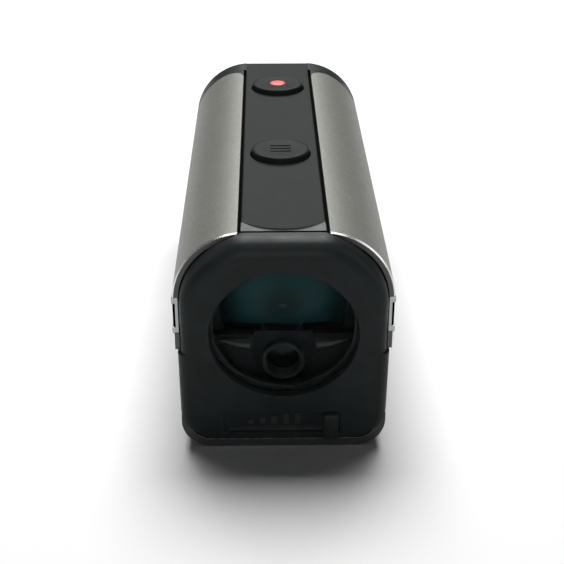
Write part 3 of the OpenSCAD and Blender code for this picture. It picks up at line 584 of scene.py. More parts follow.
class FinishBook:
    """Makes each slot's material once."""

    def __init__(self) -> None:
        """Write down the finish of every slot."""
        self._recipes: dict[str, object] = {
            Slot.BLACK_CASE.value: MouldedPlastic(
                "case_black_satin", (0.0088, 0.0112, 0.0113), rough=0.42),
            Slot.SHELL_METAL.value: SatinMetal(
                "shell_champagne_satin", (0.160, 0.160, 0.145), rough=0.46, metallic=0.42,
                grain_mm=0.2, grain_depth_mm=0.012, sparkle=0.34, edge_share=0.1, specular=0.2),
            Slot.STRIP_BLACK.value: MouldedPlastic(
                "strip_graphite_satin", (0.0088, 0.0101, 0.0101), rough=0.5, grain_mm=0.16,
                grain_depth_mm=0.008, mottle=0.05, specular=0.045, rough_swing=0.015),
            Slot.TRIM_CHROME.value: BrightMetal("trim_plated", (0.36, 0.365, 0.37), rough=0.26),
            Slot.TRIM_INSERT.value: MouldedPlastic(
                "trim_black_gloss", (0.010, 0.0105, 0.011), rough=0.3, grain_mm=0.3,
                grain_depth_mm=0.006),
            Slot.TRAY_METAL.value: SatinMetal(
                "tray_gunmetal", (0.05, 0.051, 0.051), rough=0.42, metallic=0.8),
            Slot.WINDOW_GLASS.value: CoatedGlass(
                "window_clear", (0.86, 0.94, 0.94), ior=1.06, clear=1.0),
            # teal base colour: the coating's tint as a painted reflection, brighter in a ring
            # round the lens axis
            Slot.LENS_GLASS.value: CoatedGlass(
                "lens_teal_coating_painted_reflection", (0.012, 0.046, 0.051), ior=1.2, clear=0.12,
                painted_reflection_ring=(1.5, 5.5, 8.0, 11.5)),
            Slot.INNER_BLACK.value: MouldedPlastic(
                "inner_black_matt", (0.010, 0.011, 0.0112), rough=0.6, grain_mm=0.2,
                grain_depth_mm=0.02),
            Slot.SEAL_RUBBER.value: Rubber("seal_black_rubber", (0.011, 0.011, 0.0115)),
            Slot.BUTTON_BLACK.value: MouldedPlastic(
                "button_graphite", (0.0088, 0.0098, 0.0098), rough=0.46, grain_mm=0.14,
                grain_depth_mm=0.006, mottle=0.06, specular=0.042, rough_swing=0.02),
            Slot.DOT_RED.value: GlossEnamel(
                "dot_signal_red", (0.86, 0.045, 0.05), rough=0.5, coat=0.08),
            Slot.SWITCH_WHITE.value: MouldedPlastic(
                "switch_natural_nylon", (0.62, 0.60, 0.55), rough=0.45, grain_mm=0.3,
                grain_depth_mm=0.01, mottle=0.05, rubbed=(0.7, 0.69, 0.65)),
            Slot.BOARD_GREEN.value: CircuitBoard(
                "board_green_lacquer", (0.012, 0.085, 0.035), track=(0.03, 0.17, 0.06)),
            Slot.CHIP_BLACK.value: MouldedPlastic(
                "chip_epoxy", (0.016, 0.016, 0.017), rough=0.5, grain_mm=0.1,
                grain_depth_mm=0.01),
            Slot.RIBBON_AMBER.value: BandedFilm(
                "ribbon_amber_film", (0.42, 0.19, 0.035), band=(0.55, 0.30, 0.09),
                pitch_mm=0.5, axis="Y"),
            Slot.CONTACT_STEEL.value: BrightMetal(
                "contact_nickel", (0.66, 0.64, 0.58), rough=0.24),
            Slot.SCREW_STEEL.value: BrightMetal(
                "screw_blackened", (0.16, 0.16, 0.165), rough=0.32),
            Slot.BUSH_BRASS.value: BrightMetal("bush_brass", (0.62, 0.44, 0.18), rough=0.26),
            Slot.CAN_GOLD.value: BrightMetal("can_gold_plate", (0.80, 0.58, 0.24), rough=0.2),
            Slot.CELL_LABEL.value: BandedFilm(
                "cell_sleeve", (0.045, 0.05, 0.06), band=(0.58, 0.46, 0.18), pitch_mm=22.0,
                axis="Y", rough=0.3, metallic=0.3, width=0.75),
            Slot.DISPLAY_GLASS.value: GlossEnamel(
                "display_dark_glass", (0.03, 0.045, 0.045), rough=0.1),
            "shell_edge": BrightMetal("shell_edge_cut", (0.72, 0.72, 0.71), rough=0.24),
            "shell_rim": SatinMetal(
                "shell_end_grey", (0.085, 0.085, 0.083), rough=0.45, edge_share=0.2),
            "collar": MouldedPlastic(
                "collar_dark_grey", (0.028, 0.030, 0.030), rough=0.45, grain_mm=0.2,
                grain_depth_mm=0.01),
            # light grey copy of the inner black: painted highlight on the baffle's lit ledges
            "ledge": MouldedPlastic(
                "ledge_painted_highlight", (0.075, 0.075, 0.068), rough=0.5, grain_mm=0.2,
                grain_depth_mm=0.01),
            # near-black and mostly opaque: painted shade inside the laser tube
            "laser_glass": CoatedGlass(
                "laser_glass_painted_shade", (0.002, 0.004, 0.005), ior=1.3, clear=0.2),
            # light grey copy of the strip plastic: painted highlight on the strip's front facet
            "strip_facet": MouldedPlastic(
                "strip_facet_painted_highlight", (0.066, 0.069, 0.067), rough=0.5, grain_mm=0.16,
                grain_depth_mm=0.006, specular=0.16),
            # darkest black with almost no specular: painted shade in the gaps round the strip
            "groove": MouldedPlastic(
                "groove_painted_shade", (0.0015, 0.0016, 0.0016), rough=0.8, grain_mm=0.3,
                grain_depth_mm=0.01, specular=0.01),
            "knob": MouldedPlastic("knob_graphite", (0.013, 0.0145, 0.0148), rough=0.4),
            "mark": MouldedPlastic("mark_grey", (0.016, 0.0175, 0.0178), rough=0.4),
        }
        self._made: dict[str, bpy.types.Material] = {}

    def get(self, name: Slot | str) -> bpy.types.Material:
        """The material of a slot or of a named extra finish.

        Args:
            name: The slot, or the name of an extra finish.

        Returns:
            The material.
        """
        key = name.value if isinstance(name, Slot) else name
        if key not in self._made:
            self._made[key] = self._recipes[key].make()
        return self._made[key]


# ---------- Mesh tools ----------


@dataclass
class MeshDraft:
    """A mesh being built, in millimetres, with one material index per face."""

    verts: list[Point] = field(default_factory=list)
    faces: list[list[int]] = field(default_factory=list)
    marks: list[int] = field(default_factory=list)

    def ring(self, points: Iterable[Point]) -> list[int]:
        """Add points.

        Args:
            points: The points.

        Returns:
            Their numbers.
        """
        start = len(self.verts)
        self.verts.extend(points)
        return list(range(start, len(self.verts)))

    def skin(self, first: Sequence[int], second: Sequence[int], mark: int = 0,
             closed: bool = True) -> None:
        """Join two rings of the same length with quads.

        Args:
            first: Numbers of the first ring.
            second: Numbers of the second ring.
            mark: Material index of the new faces.
            closed: Whether the last point joins the first.
        """
        count = len(first)
        for i in range(count if closed else count - 1):
            j = (i + 1) % count
            self.faces.append([first[i], first[j], second[j], second[i]])
            self.marks.append(mark)

    def cap(self, ring: Sequence[int], mark: int = 0) -> None:
        """Close a ring with one face."""
        self.faces.append(list(ring))
        self.marks.append(mark)

    def add(self, other: MeshDraft) -> None:
        """Take in the faces of another draft.

        Args:
            other: The other draft, left as it is.
        """
        offset = len(self.verts)
        self.verts += other.verts
        self.faces += [[offset + number for number in face] for face in other.faces]
        self.marks += other.marks

    def loft(self, rings: Sequence[Sequence[Point]], mark: int = 0) -> None:
        """Skin a run of closed rings and fill the first and the last.

        Args:
            rings: Points of each ring.
            mark: Material index of the new faces.
        """
        ids = [self.ring(r) for r in rings]
        for first, second in zip(ids, ids[1:]):
            self.skin(first, second, mark)
        self.cap(list(reversed(ids[0])), mark)
        self.cap(ids[-1], mark)

    def revolve(self, profile: Sequence[Point2], place: Placing, steps: int = 96) -> None:
        """Turn a closed profile of (radius, height) about its axis.

        Args:
            profile: Points of the profile; a radius of 0 lies on the axis.
            place: Turns (radius, height, angle) into a point.
            steps: Facets round the axis.
        """
        rings: list[list[int]] = []
        for radius, height in profile:
            if radius < ON_AXIS:
                rings.append(self.ring([place(0.0, height, 0.0)]))
            else:
                rings.append(self.ring([place(radius, height, math.tau * k / steps)
                                        for k in range(steps)]))
        for i in range(len(rings)):
            a, b = rings[i], rings[(i + 1) % len(rings)]
            if len(a) == 1 and len(b) == 1:
                continue
            for k in range(steps):
                n = (k + 1) % steps
                if len(a) == 1:
                    self.faces.append([a[0], b[n], b[k]])
                elif len(b) == 1:
                    self.faces.append([a[k], a[n], b[0]])
                else:
                    self.faces.append([a[k], a[n], b[n], b[k]])
                self.marks.append(0)

    def box(self, low: Point, high: Point, mark: int = 0) -> None:
        """Add a box.

        Args:
            low: Its lowest corner.
            high: Its highest corner.
            mark: Material index of its faces.
        """
        xs, ys, zs = zip(low, high)
        lower = [(xs[0], ys[0], zs[0]), (xs[1], ys[0], zs[0]), (xs[1], ys[1], zs[0]),
                 (xs[0], ys[1], zs[0])]
        self.loft([lower, [(x, y, zs[1]) for x, y, _ in lower]], mark)


def about_y(centre_z: float) -> Placing:
    """Placing function for pieces turned about an axis along Y at a height."""
    return lambda r, h, a: (r * math.sin(a), h, centre_z + r * math.cos(a))


def about_z(centre_y: float) -> Placing:
    """Placing function for pieces turned about an upright axis on the middle plane."""
    return lambda r, h, a: (r * math.cos(a), centre_y + r * math.sin(a), h)


def arc(centre: Point2, radius: float, start: float, end: float, steps: int) -> list[Point2]:
    """Points along an arc, both ends included.

    Args:
        centre: Middle of the arc.
        radius: Its radius.
        start: Angle of its first point, in degrees.
        end: Angle of its last point, in degrees.
        steps: Facets along it.

    Returns:
        The points.
    """
    return [(centre[0] + radius * math.cos(math.radians(start + (end - start) * i / steps)),
             centre[1] + radius * math.sin(math.radians(start + (end - start) * i / steps)))
            for i in range(steps + 1)]


def to_object(name: str, draft: MeshDraft, materials: Sequence[bpy.types.Material],
              smooth_deg: float = 35.0) -> bpy.types.Object:
    """Make an object of a draft.

    Args:
        name: Name of the piece.
        draft: The mesh, in millimetres.
        materials: Materials in the order of the draft's marks.
        smooth_deg: Edges flatter than this are shaded smooth.

    Returns:
        The object.
    """
    mesh = bpy.data.meshes.new(name)
    mesh.from_pydata([(x * MM, y * MM, z * MM) for x, y, z in draft.verts], [], draft.faces)
    for material in materials:
        mesh.materials.append(material)
    for face, mark in zip(mesh.polygons, draft.marks):
        face.material_index = mark
    piece = bpy.data.objects.new(name, mesh)
    bpy.context.scene.collection.objects.link(piece)
    work = bmesh.new()
    work.from_mesh(mesh)
    bmesh.ops.remove_doubles(work, verts=work.verts, dist=WELD)
    bmesh.ops.recalc_face_normals(work, faces=work.faces)
    work.to_mesh(mesh)
    work.free()
    shade(piece, smooth_deg)
    return piece


def shade(piece: bpy.types.Object, smooth_deg: float = 35.0) -> None:
    """Shade a piece smooth, but for its sharp edges.

    Args:
        piece: The piece.
        smooth_deg: Edges flatter than this are shaded smooth.
    """
    mesh = piece.data
    mesh.shade_smooth()
    mesh.set_sharp_from_angle(angle=math.radians(smooth_deg))


def bevel(piece: bpy.types.Object, width_mm: float, angle_deg: float = 35.0,
          segments: int = 3) -> None:
    """Round a piece's sharp edges and keep its flats flat.

    Args:
        piece: The piece.
        width_mm: Width of the rounding.
        angle_deg: Edges sharper than this are rounded.
        segments: Facets across the rounding.
    """
    mod = piece.modifiers.new("soft_edges", "BEVEL")
    mod.width = width_mm * MM
    mod.segments = segments
    mod.limit_method = "ANGLE"
    mod.angle_limit = math.radians(angle_deg)
    mod.use_clamp_overlap = True
    mod.harden_normals = True
    mod.miter_outer = "MITER_ARC"
    weigh = piece.modifiers.new("flat_faces", "WEIGHTED_NORMAL")
    weigh.keep_sharp = True


def cut(piece: bpy.types.Object, drafts: Sequence[MeshDraft], join: bool = False) -> None:
    """Take other shapes out of a piece, or add them to it.

    Args:
        piece: The piece that is changed.
        drafts: The shapes, each a closed mesh.
        join: Add the shapes in place of taking them out.
    """
    for number, draft in enumerate(drafts):
        tool = to_object(f"cutter_{number}", draft, list(piece.data.materials))
        mod = piece.modifiers.new("cut", "BOOLEAN")
        mod.operation = "UNION" if join else "DIFFERENCE"
        mod.solver = "EXACT"
        mod.object = tool
        bake(piece)
        bpy.data.objects.remove(tool, do_unlink=True)


def bake(piece: bpy.types.Object) -> None:
    """Turn a piece's modifiers into its mesh.

    Args:
        piece: The piece that is changed.
    """
    bpy.context.view_layer.update()
    graph = bpy.context.evaluated_depsgraph_get()
    mesh = bpy.data.meshes.new_from_object(piece.evaluated_get(graph))
    piece.modifiers.clear()
    old = piece.data
    piece.data = mesh
    bpy.data.meshes.remove(old)


def settle(piece: bpy.types.Object, body: Body, slot: Slot, *nodes: str) -> None:
    """Parent a piece to the body that it rides on and hide the nodes that it stands for.

    Args:
        piece: The piece.
        body: The body that it rides on.
        slot: Not used.
        nodes: The nodes that it stands for.
    """
    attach(piece, body.value)
    if nodes:
        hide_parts(*nodes)
    log.info("%s: %d faces on %s", piece.name, len(piece.data.polygons), body.value)


def reach(node: str) -> tuple[Vector, Vector]:
    """Lowest and highest corner of a node, in millimetres."""
    low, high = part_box(node)
    return low / MM, high / MM


# ---------- Shared shape ----------


@dataclass(frozen=True)
class CaseShape:
    """Sizes that the case's pieces share."""

    corner_r: float = 14.1
    shell_low: float = 22.4
    band_half: float = 8.5
    side_step: float = 0.8
    bezel_inset: float = 1.4
    bezel_low: float = 1.6
    bezel_r: float = 7.0
    face_lean_deg: float = 6.0
    window_z: float = 26.39
    bezel_wall: float = 1.5
    room_side: float = 3.8
    room_low: float = 3.4
    room_r: float = 3.3
    tray_wall: Point2 = (18.8, 30.0)
    tray_wall_top: float = 7.7
    tray_floor_half: float = 22.0
    tray_floor_top: float = 1.9
    shelf_drop: float = 0.25
    arc_steps: int = 20

    @property
    def half(self) -> float:
        """Half the width over the side shells."""
        return reach("right_shell")[1].x

    @property
    def top(self) -> float:
        """Height of the crest of the shells."""
        return reach("right_shell")[1].z

    @property
    def strip_z(self) -> float:
        """Height of the top strip."""
        return reach("front_bezel")[1].z

    @property
    def y_front(self) -> float:
        """Foremost point of the front bezel."""
        return reach("front_bezel")[0].y

    @property
    def y_shell(self) -> float:
        """Front end of the side shells."""
        return reach("right_shell")[0].y

    @property
    def y_rear(self) -> float:
        """Rear end of the side shells."""
        return reach("right_shell")[1].y

    @property
    def y_back(self) -> float:
        """Rear face of the rear bezel."""
        return reach("rear_bezel")[1].y

    def outline(self, inset: float, lower_half: float, low: float,
                low_r: float) -> list[Point2]:
        """Front view outline of the case, counter-clockwise from the lower right corner.

        Args:
            inset: How far the upper part lies inside the shells.
            lower_half: Half the width below the shells.
            low: Height of the lower edge.
            low_r: Radius of the lower corners.

        Returns:
            Points (x, z); the right half first, then the left half.
        """
        upper_half = self.half - inset
        centre_x = self.half - self.corner_r
        centre_z = self.top - self.corner_r
        right = arc((lower_half - low_r, low + low_r), low_r, -90, 0, self.arc_steps // 2)
        right.append((lower_half, self.shell_low - self.shelf_drop))
        right.append((upper_half, self.shell_low))
        right += arc((centre_x, centre_z), self.corner_r - inset, 0, 90, self.arc_steps)
        left = [(-x, z) for x, z in reversed(right)]
        return right + left

    def outline_with_inward(self, inset: float) -> list[tuple[Point2, Point2]]:
        """Outline of a bezel with the way each point moves when the outline shrinks.

        Args:
            inset: How far the upper part lies inside the shells.

        Returns:
            Pairs of a point (x, z) and its move for a shrink of 1 mm.
        """
        half = self.half - self.side_step
        base = self.outline(inset, half, self.bezel_low, self.bezel_r)
        less = self.outline(inset + 1, half - 1, self.bezel_low + 1, self.bezel_r - 1)
        return [(p, (q[0] - p[0], q[1] - p[1])) for p, q in zip(base, less)]

    def room(self) -> list[Point2]:
        """Outline of the room inside a bezel."""
        return self.outline(self.bezel_inset + self.bezel_wall, self.half - self.room_side,
                            self.room_low, self.room_r)

    def tray_room(self, y0: float, y1: float) -> list[MeshDraft]:
        """What a bezel's skirt leaves free for the case's lower walls and floor.

        Args:
            y0: Where the room starts.
            y1: Where it ends.

        Returns:
            The rooms of the left wall, the right wall and the floor.
        """
        rooms = []
        for side in (-1, 1):
            x0, x1 = sorted(side * x for x in self.tray_wall)
            wall = MeshDraft()
            wall.box((x0, y0, -1), (x1, y1, self.tray_wall_top))
            rooms.append(wall)
        floor = MeshDraft()
        floor.box((-self.tray_floor_half, y0, -1), (self.tray_floor_half, y1, self.tray_floor_top))
        return [*rooms, floor]


@dataclass
class FrontFace:
    """Maps points on the leaning front face to the frame."""

    shape: CaseShape
    roll_r: float = 3.7

    def __post_init__(self) -> None:
        """Find the face plane from the front bezel and the top roll."""
        lean = math.radians(self.shape.face_lean_deg)
        self.tan = math.tan(lean)
        self.touch_y = self.shape.y_front + self.roll_r * (1 - math.cos(lean))
        self.touch_z = self.shape.strip_z - self.roll_r - self.roll_r * math.sin(lean)

    def y(self, z: float) -> float:
        """Depth of the face plane at a height."""
        return self.touch_y + (self.touch_z - z) * self.tan

    def at(self, x: float, up: float, out: float) -> Point:
        """A point of the frame, counted from the window's middle.

        Args:
            x: Distance across.
            up: Distance up along the face.
            out: Distance out of the face.

        Returns:
            The point.
        """
        lean = math.radians(self.shape.face_lean_deg)
        z = self.shape.window_z + up * math.cos(lean) - out * math.sin(lean)
        y0 = self.y(self.shape.window_z)
        return (x, y0 - up * math.sin(lean) - out * math.cos(lean), z)

    def up_to(self, z: float) -> float:
        """Distance up the face from the window's middle to a height."""
        return (z - self.shape.window_z) / math.cos(math.radians(self.shape.face_lean_deg))

    def place(self) -> Placing:
        """Placing function for pieces turned about the window's axis, square to the face."""
        return lambda r, h, a: self.at(r * math.sin(a), r * math.cos(a), h)

    def slab(self, x0: float, x1: float, up0: float, up1: float, out0: float,
             out1: float) -> MeshDraft:
        """A box laid on the face.

        Args:
            x0: Its left side.
            x1: Its right side.
            up0: Its lower edge along the face.
            up1: Its upper edge along the face.
            out0: Its depth out of the face.
            out1: Its height out of the face.

        Returns:
            The draft.
        """
        draft = MeshDraft()
        corners = [(x0, up0), (x1, up0), (x1, up1), (x0, up1)]
        draft.loft([[self.at(x, up, out0) for x, up in corners],
                    [self.at(x, up, out1) for x, up in corners]])
        return draft


# ---------- Front ----------


@dataclass
class FrontGroup:
    """Front bezel with its window, mark, slide knob and lips, laser tube and ledges."""

    book: FinishBook
    shape: CaseShape
    window_r: float = 14.14
    glass_r: float = 14.94
    window_depth: float = 1.6
    glass_t: float = 1.2
    plate_t: float = 3.6
    side_roll: float = 1.8
    low_roll: float = 0.7
    shell_gap: float = 0.3
    skirt_d: float = 6.0
    pocket: tuple[float, float, float, float] = (-11.9, 11.2, 3.4, 8.5)
    pocket_d: float = 0.45
    slot_span: tuple[float, float, float, float] = (-10.8, 10.5, 3.3, 4.8)
    mark_bars: int = 5
    mark_pitch: float = 2.3
    mark_start: float = -7.0
    mark_w: float = 1.1
    mark_rise: float = 0.45
    knob_half: float = 1.5
    knob_low: float = 2.0
    knob_h: float = 6.1
    knob_out: float = 1.3
    knob_r: float = 0.75
    stem_half: float = 0.9
    tube_wall: float = 0.8
    tube_lip: float = 0.4
    tongue_z: float = 40.0
    roll_steps: int = 14
    ledge_drop: float = 1.0

    def __post_init__(self) -> None:
        """Lay out the face plane."""
        self.face = FrontFace(self.shape)

    def _nose_rings(self) -> list[list[Point]]:
        """Rings from the back of the skirt to the face, rolled over at the front.

        Returns:
            Points of each ring, from the back to the front.
        """
        s = self.shape
        pairs = s.outline_with_inward(s.bezel_inset)
        steps = self.roll_steps
        roll: list[list[Point]] = [[] for _ in range(steps + 1)]
        step_up: list[Point] = []
        step_down: list[Point] = []
        for (x, z), (nx, nz) in pairs:
            lift = self._crown(x, z)
            radius = self._roll_radius(z)
            for i in range(steps + 1):
                turn = math.pi / 2 * i / steps
                inset = radius * (1 - math.cos(turn))
                px, pz = x + nx * inset, z + lift + nz * inset
                y = self.face.y(pz) + radius * (1 - math.sin(turn))
                roll[i].append((px, max(y, s.y_front + 0.002), pz))
            on_tongue = z > self.tongue_z and abs(x) < s.band_half - 0.1
            edge = s.y_shell + (0.5 if on_tongue else -self.shell_gap)
            start = roll[0][-1][1]
            step_up.append((x, max(edge, start + 0.1), z + lift))
            step_down.append((x, max(edge + 0.02, start + 0.2), z))
        back = [(x, s.y_shell + self.skirt_d, z) for (x, z), _ in pairs]
        return [back, step_down, step_up, *roll]

    def _roll_radius(self, z: float) -> float:
        """Radius of the front edge, small low down and full at the top.

        Args:
            z: The height.

        Returns:
            The radius.
        """
        top = max(0.0, min(1.0, (z - 28.0) / 16.0))
        low = max(0.0, min(1.0, (9.0 - z) / 7.0))
        radius = self.side_roll + (self.face.roll_r - self.side_roll) * top * top * (3 - 2 * top)
        return radius + (self.low_roll - radius) * low * low * (3 - 2 * low)

    def _crown(self, x: float, z: float) -> float:
        """How far the nose's top stands over the skirt, so that it meets the strip.

        Args:
            x: Distance from the middle of the case.
            z: The height.

        Returns:
            The rise.
        """
        s = self.shape
        if z < s.top - s.corner_r:
            return 0.0
        share = max(0.0, min(1.0, (16.0 - abs(x)) / 9.0))
        return (s.strip_z - (s.top - s.bezel_inset)) * share * share * (3 - 2 * share)

    def build_bezel(self) -> None:
        """Front bezel: a rolled shell with a window, a pocket and a slot."""
        s = self.shape
        draft = MeshDraft()
        draft.loft(self._nose_rings())
        bezel = to_object("front_bezel_skin", draft, [self.book.get(Slot.BLACK_CASE),
                                                      self.book.get("mark")])
        hollow = MeshDraft()
        inner = s.room()
        hollow.loft([[(x, s.y_shell + self.skirt_d + 1, z) for x, z in inner],
                     [(x, self.face.y(z) + self.plate_t, z) for x, z in inner]])
        window = MeshDraft()
        rim = self.window_r
        window.revolve([(0, 2.0), (rim + 1.9, 2.0), (rim + 0.2, 0.28), (rim + 0.16, 0.0),
                        (rim + 0.05, -0.16), (rim, -0.3), (rim, -self.plate_t - 2),
                        (0, -self.plate_t - 2)], self.face.place(), 128)
        seat = MeshDraft()
        seat.revolve([(0, -self.window_depth), (self.glass_r, -self.window_depth),
                      (self.glass_r, -self.plate_t - 2), (0, -self.plate_t - 2)],
                     self.face.place(), 128)
        x0, x1, low, high = self.pocket
        pocket = self._round_slab(x0, x1, self.face.up_to(low), self.face.up_to(high),
                                  -self.pocket_d, 1.0, 0.55)
        sx0, sx1, slow, shigh = self.slot_span
        slot = self.face.slab(sx0, sx1, self.face.up_to(slow), self.face.up_to(shigh),
                              -self.plate_t - 1, 0.5)
        cut(bezel, [hollow, window, seat, pocket, slot, *self._skirt_cuts()])
        bevel(bezel, 0.14, 50, 2)
        settle(bezel, Body.CASE, Slot.BLACK_CASE, "front_bezel")
        self._build_mark()

    def build_lips(self) -> None:
        """Two soft lips that close the slot round the knob's stem."""
        x0, x1, low, high = self.slot_span
        low, high = self.face.up_to(low), self.face.up_to(high)
        mid = (low + high) / 2
        draft = MeshDraft()
        for a, b in ((low + 0.02, mid - 0.03), (mid + 0.03, high - 0.02)):
            outer, inner = (a, b) if a < mid - 0.1 else (b, a)
            line = [(outer, -0.75), (outer, -1.05), (inner, -0.95), (inner, -0.82)]
            draft.loft([[self.face.at(x, up, out) for up, out in line]
                        for x in (x0 + 0.05, x1 - 0.05)])
        lips = to_object("slot_wiper_lips", draft, [self.book.get("mark")])
        settle(lips, Body.CASE, Slot.BLACK_CASE)

    def _skirt_cuts(self) -> list[MeshDraft]:
        """What the skirt leaves free for the strip, the lower walls and the floor.

        Returns:
            The shapes that are taken out.
        """
        s = self.shape
        band = MeshDraft()
        band.box((-s.band_half, s.y_shell + 0.5, s.strip_z - 1.5),
                 (s.band_half, s.y_shell + self.skirt_d + 2, s.strip_z + 2))
        return [band, *s.tray_room(s.y_shell, s.y_shell + self.skirt_d + 2)]

    def _round_slab(self, x0: float, x1: float, up0: float, up1: float, out0: float,
                    out1: float, radius: float) -> MeshDraft:
        """A slab on the face with rounded corners.

        Args:
            x0: Its left side.
            x1: Its right side.
            up0: Its lower edge along the face.
            up1: Its upper edge along the face.
            out0: Its depth out of the face.
            out1: Its height out of the face.
            radius: Radius of its corners.

        Returns:
            The draft.
        """
        outline: list[Point2] = []
        for cx, cy, start in ((x1 - radius, up0 + radius, -90), (x1 - radius, up1 - radius, 0),
                              (x0 + radius, up1 - radius, 90), (x0 + radius, up0 + radius, 180)):
            outline += arc((cx, cy), radius, start, start + 90, 6)
        draft = MeshDraft()
        draft.loft([[self.face.at(x, up, out0) for x, up in outline],
                    [self.face.at(x, up, out1) for x, up in outline]])
        return draft

    def _build_mark(self) -> None:
        """Rising bars in the pocket."""
        draft = MeshDraft()
        low = self.face.up_to(self.pocket[2]) + 2.1
        for i in range(self.mark_bars):
            x0 = self.mark_start + i * self.mark_pitch
            draft.add(self._round_slab(x0, x0 + self.mark_w, low, low + 0.9 + i * self.mark_rise,
                                       -self.pocket_d - 0.1, -0.12, 0.25))
        bars = to_object("slide_mark_bars", draft, [self.book.get("mark")])
        bevel(bars, 0.06, 40, 2)
        settle(bars, Body.CASE, Slot.BLACK_CASE)

    def build_window(self) -> None:
        """Window glass with ground edges."""
        d, t = self.window_depth, self.glass_t
        glass = MeshDraft()
        r = self.glass_r - 0.02
        glass.revolve([(0, -d - 0.01), (r - 0.25, -d - 0.01), (r, -d - 0.2), (r, -d - t + 0.2),
                       (r - 0.25, -d - t), (0, -d - t)], self.face.place(), 128)
        settle(to_object("front_window_glass", glass, [self.book.get(Slot.WINDOW_GLASS)]),
               Body.CASE, Slot.WINDOW_GLASS, "front_window")

    def build_knob(self) -> None:
        """Slide knob with a rounded head and a stem through the slot."""
        centre = sum(p.x for p in reach("slide_knob")) / 2
        low = self.face.up_to(self.knob_low)
        high = low + self.knob_h / math.cos(math.radians(self.shape.face_lean_deg))
        out = self.knob_out - self.pocket_d
        half, r = self.knob_half, self.knob_r
        outline = [(centre - half, low), (centre + half, low)]
        outline += arc((centre + half - r, high - r), r, 0, 90, 8)
        outline += arc((centre - half + r, high - r), r, 90, 180, 8)
        draft = MeshDraft()
        mid = (low + high) / 2
        levels = [(0.05, 0.0), (out - 0.3, 0.0), (out - 0.08, 0.1), (out, 0.32)]
        rings = []
        for height, inset in levels:
            rings.append([self.face.at(centre + (x - centre) * (1 - inset / half),
                                       mid + (up - mid) * (1 - inset / (high - mid)), height)
                          for x, up in outline])
        draft.loft(rings)
        low_slot, high_slot = (self.face.up_to(z) for z in self.slot_span[2:])
        draft.add(self.face.slab(centre - self.stem_half, centre + self.stem_half,
                                 low_slot + 0.3, high_slot - 0.3, -self.plate_t, 0.1))
        knob = to_object("slide_knob_cap", draft, [self.book.get("knob")])
        settle(knob, Body.SLIDE, Slot.BUTTON_BLACK, "slide_knob")

    def build_laser_tube(self) -> None:
        """Laser tube with a rounded collar at its mouth."""
        low, high = reach("laser_tube")
        centre_z = (low.z + high.z) / 2
        out, wall, lip = high.x, self.tube_wall, self.tube_lip
        rounded = [(out - lip + lip * math.cos(a), low.y + lip - lip * math.sin(a))
                   for a in (math.pi * k / 10 for k in range(11))]
        draft = MeshDraft()
        draft.revolve([(out, high.y), *rounded, (out - wall, high.y)], about_y(centre_z), 96)
        tube = to_object("laser_tube_turned", draft, [self.book.get("collar")])
        settle(tube, Body.CASE, Slot.INNER_BLACK, "laser_tube")

    def build_ledges(self) -> None:
        """Two ledges on the baffle, thick at their inner ends, light grey as a painted highlight
        of their lit edges.
        """
        y_back = reach("baffle_plate")[0].y + 0.1
        top = reach("baffle_plate")[1].z - self.ledge_drop
        draft = MeshDraft()
        for side in (-1, 1):
            ends = []
            for x, deep, thick in ((6.5, 2.0, 1.0), (9.5, 1.5, 0.75), (12.4, 0.4, 0.25)):
                front = y_back - deep
                ends.append([(side * x, y_back, top - thick), (side * x, front, top - thick),
                             (side * x, front, top - 0.12), (side * x, front + 0.12, top),
                             (side * x, y_back, top)])
            draft.loft(ends)
        ledges = to_object("baffle_ledges", draft, [self.book.get("ledge")])
        settle(ledges, Body.CASE, Slot.INNER_BLACK)

    def build(self) -> None:
        """Build the whole group."""
        self.build_bezel()
        self.build_window()
        self.build_knob()
        self.build_laser_tube()
        self.build_ledges()
        self.build_lips()


# ---------- Stage ----------


@dataclass(frozen=True)
class SoftBox:
    """A rectangular lamp: where it hangs, where it looks, its face and its power."""

    name: str
    place: Point
    aim: Point
    size: Point2
    watts: float
    spares_floor: bool = True

    def hang(self, spare: bpy.types.Collection) -> None:
        """Hang the lamp and point it.

        Args:
            spare: What a lamp that spares the floor leaves alone.
        """
        light = bpy.data.lights.new(self.name, "AREA")
        light.shape = "RECTANGLE"
        light.size, light.size_y = self.size[0] * MM, self.size[1] * MM
        light.energy = self.watts
        lamp = bpy.data.objects.new(self.name, light)
        lamp.location = Vector(self.place) * MM
        way = Vector(self.aim) - Vector(self.place)
        lamp.rotation_euler = way.to_track_quat("-Z", "Y").to_euler()
        if self.spares_floor:
            lamp.light_linking.receiver_collection = spare
        bpy.context.scene.collection.objects.link(lamp)


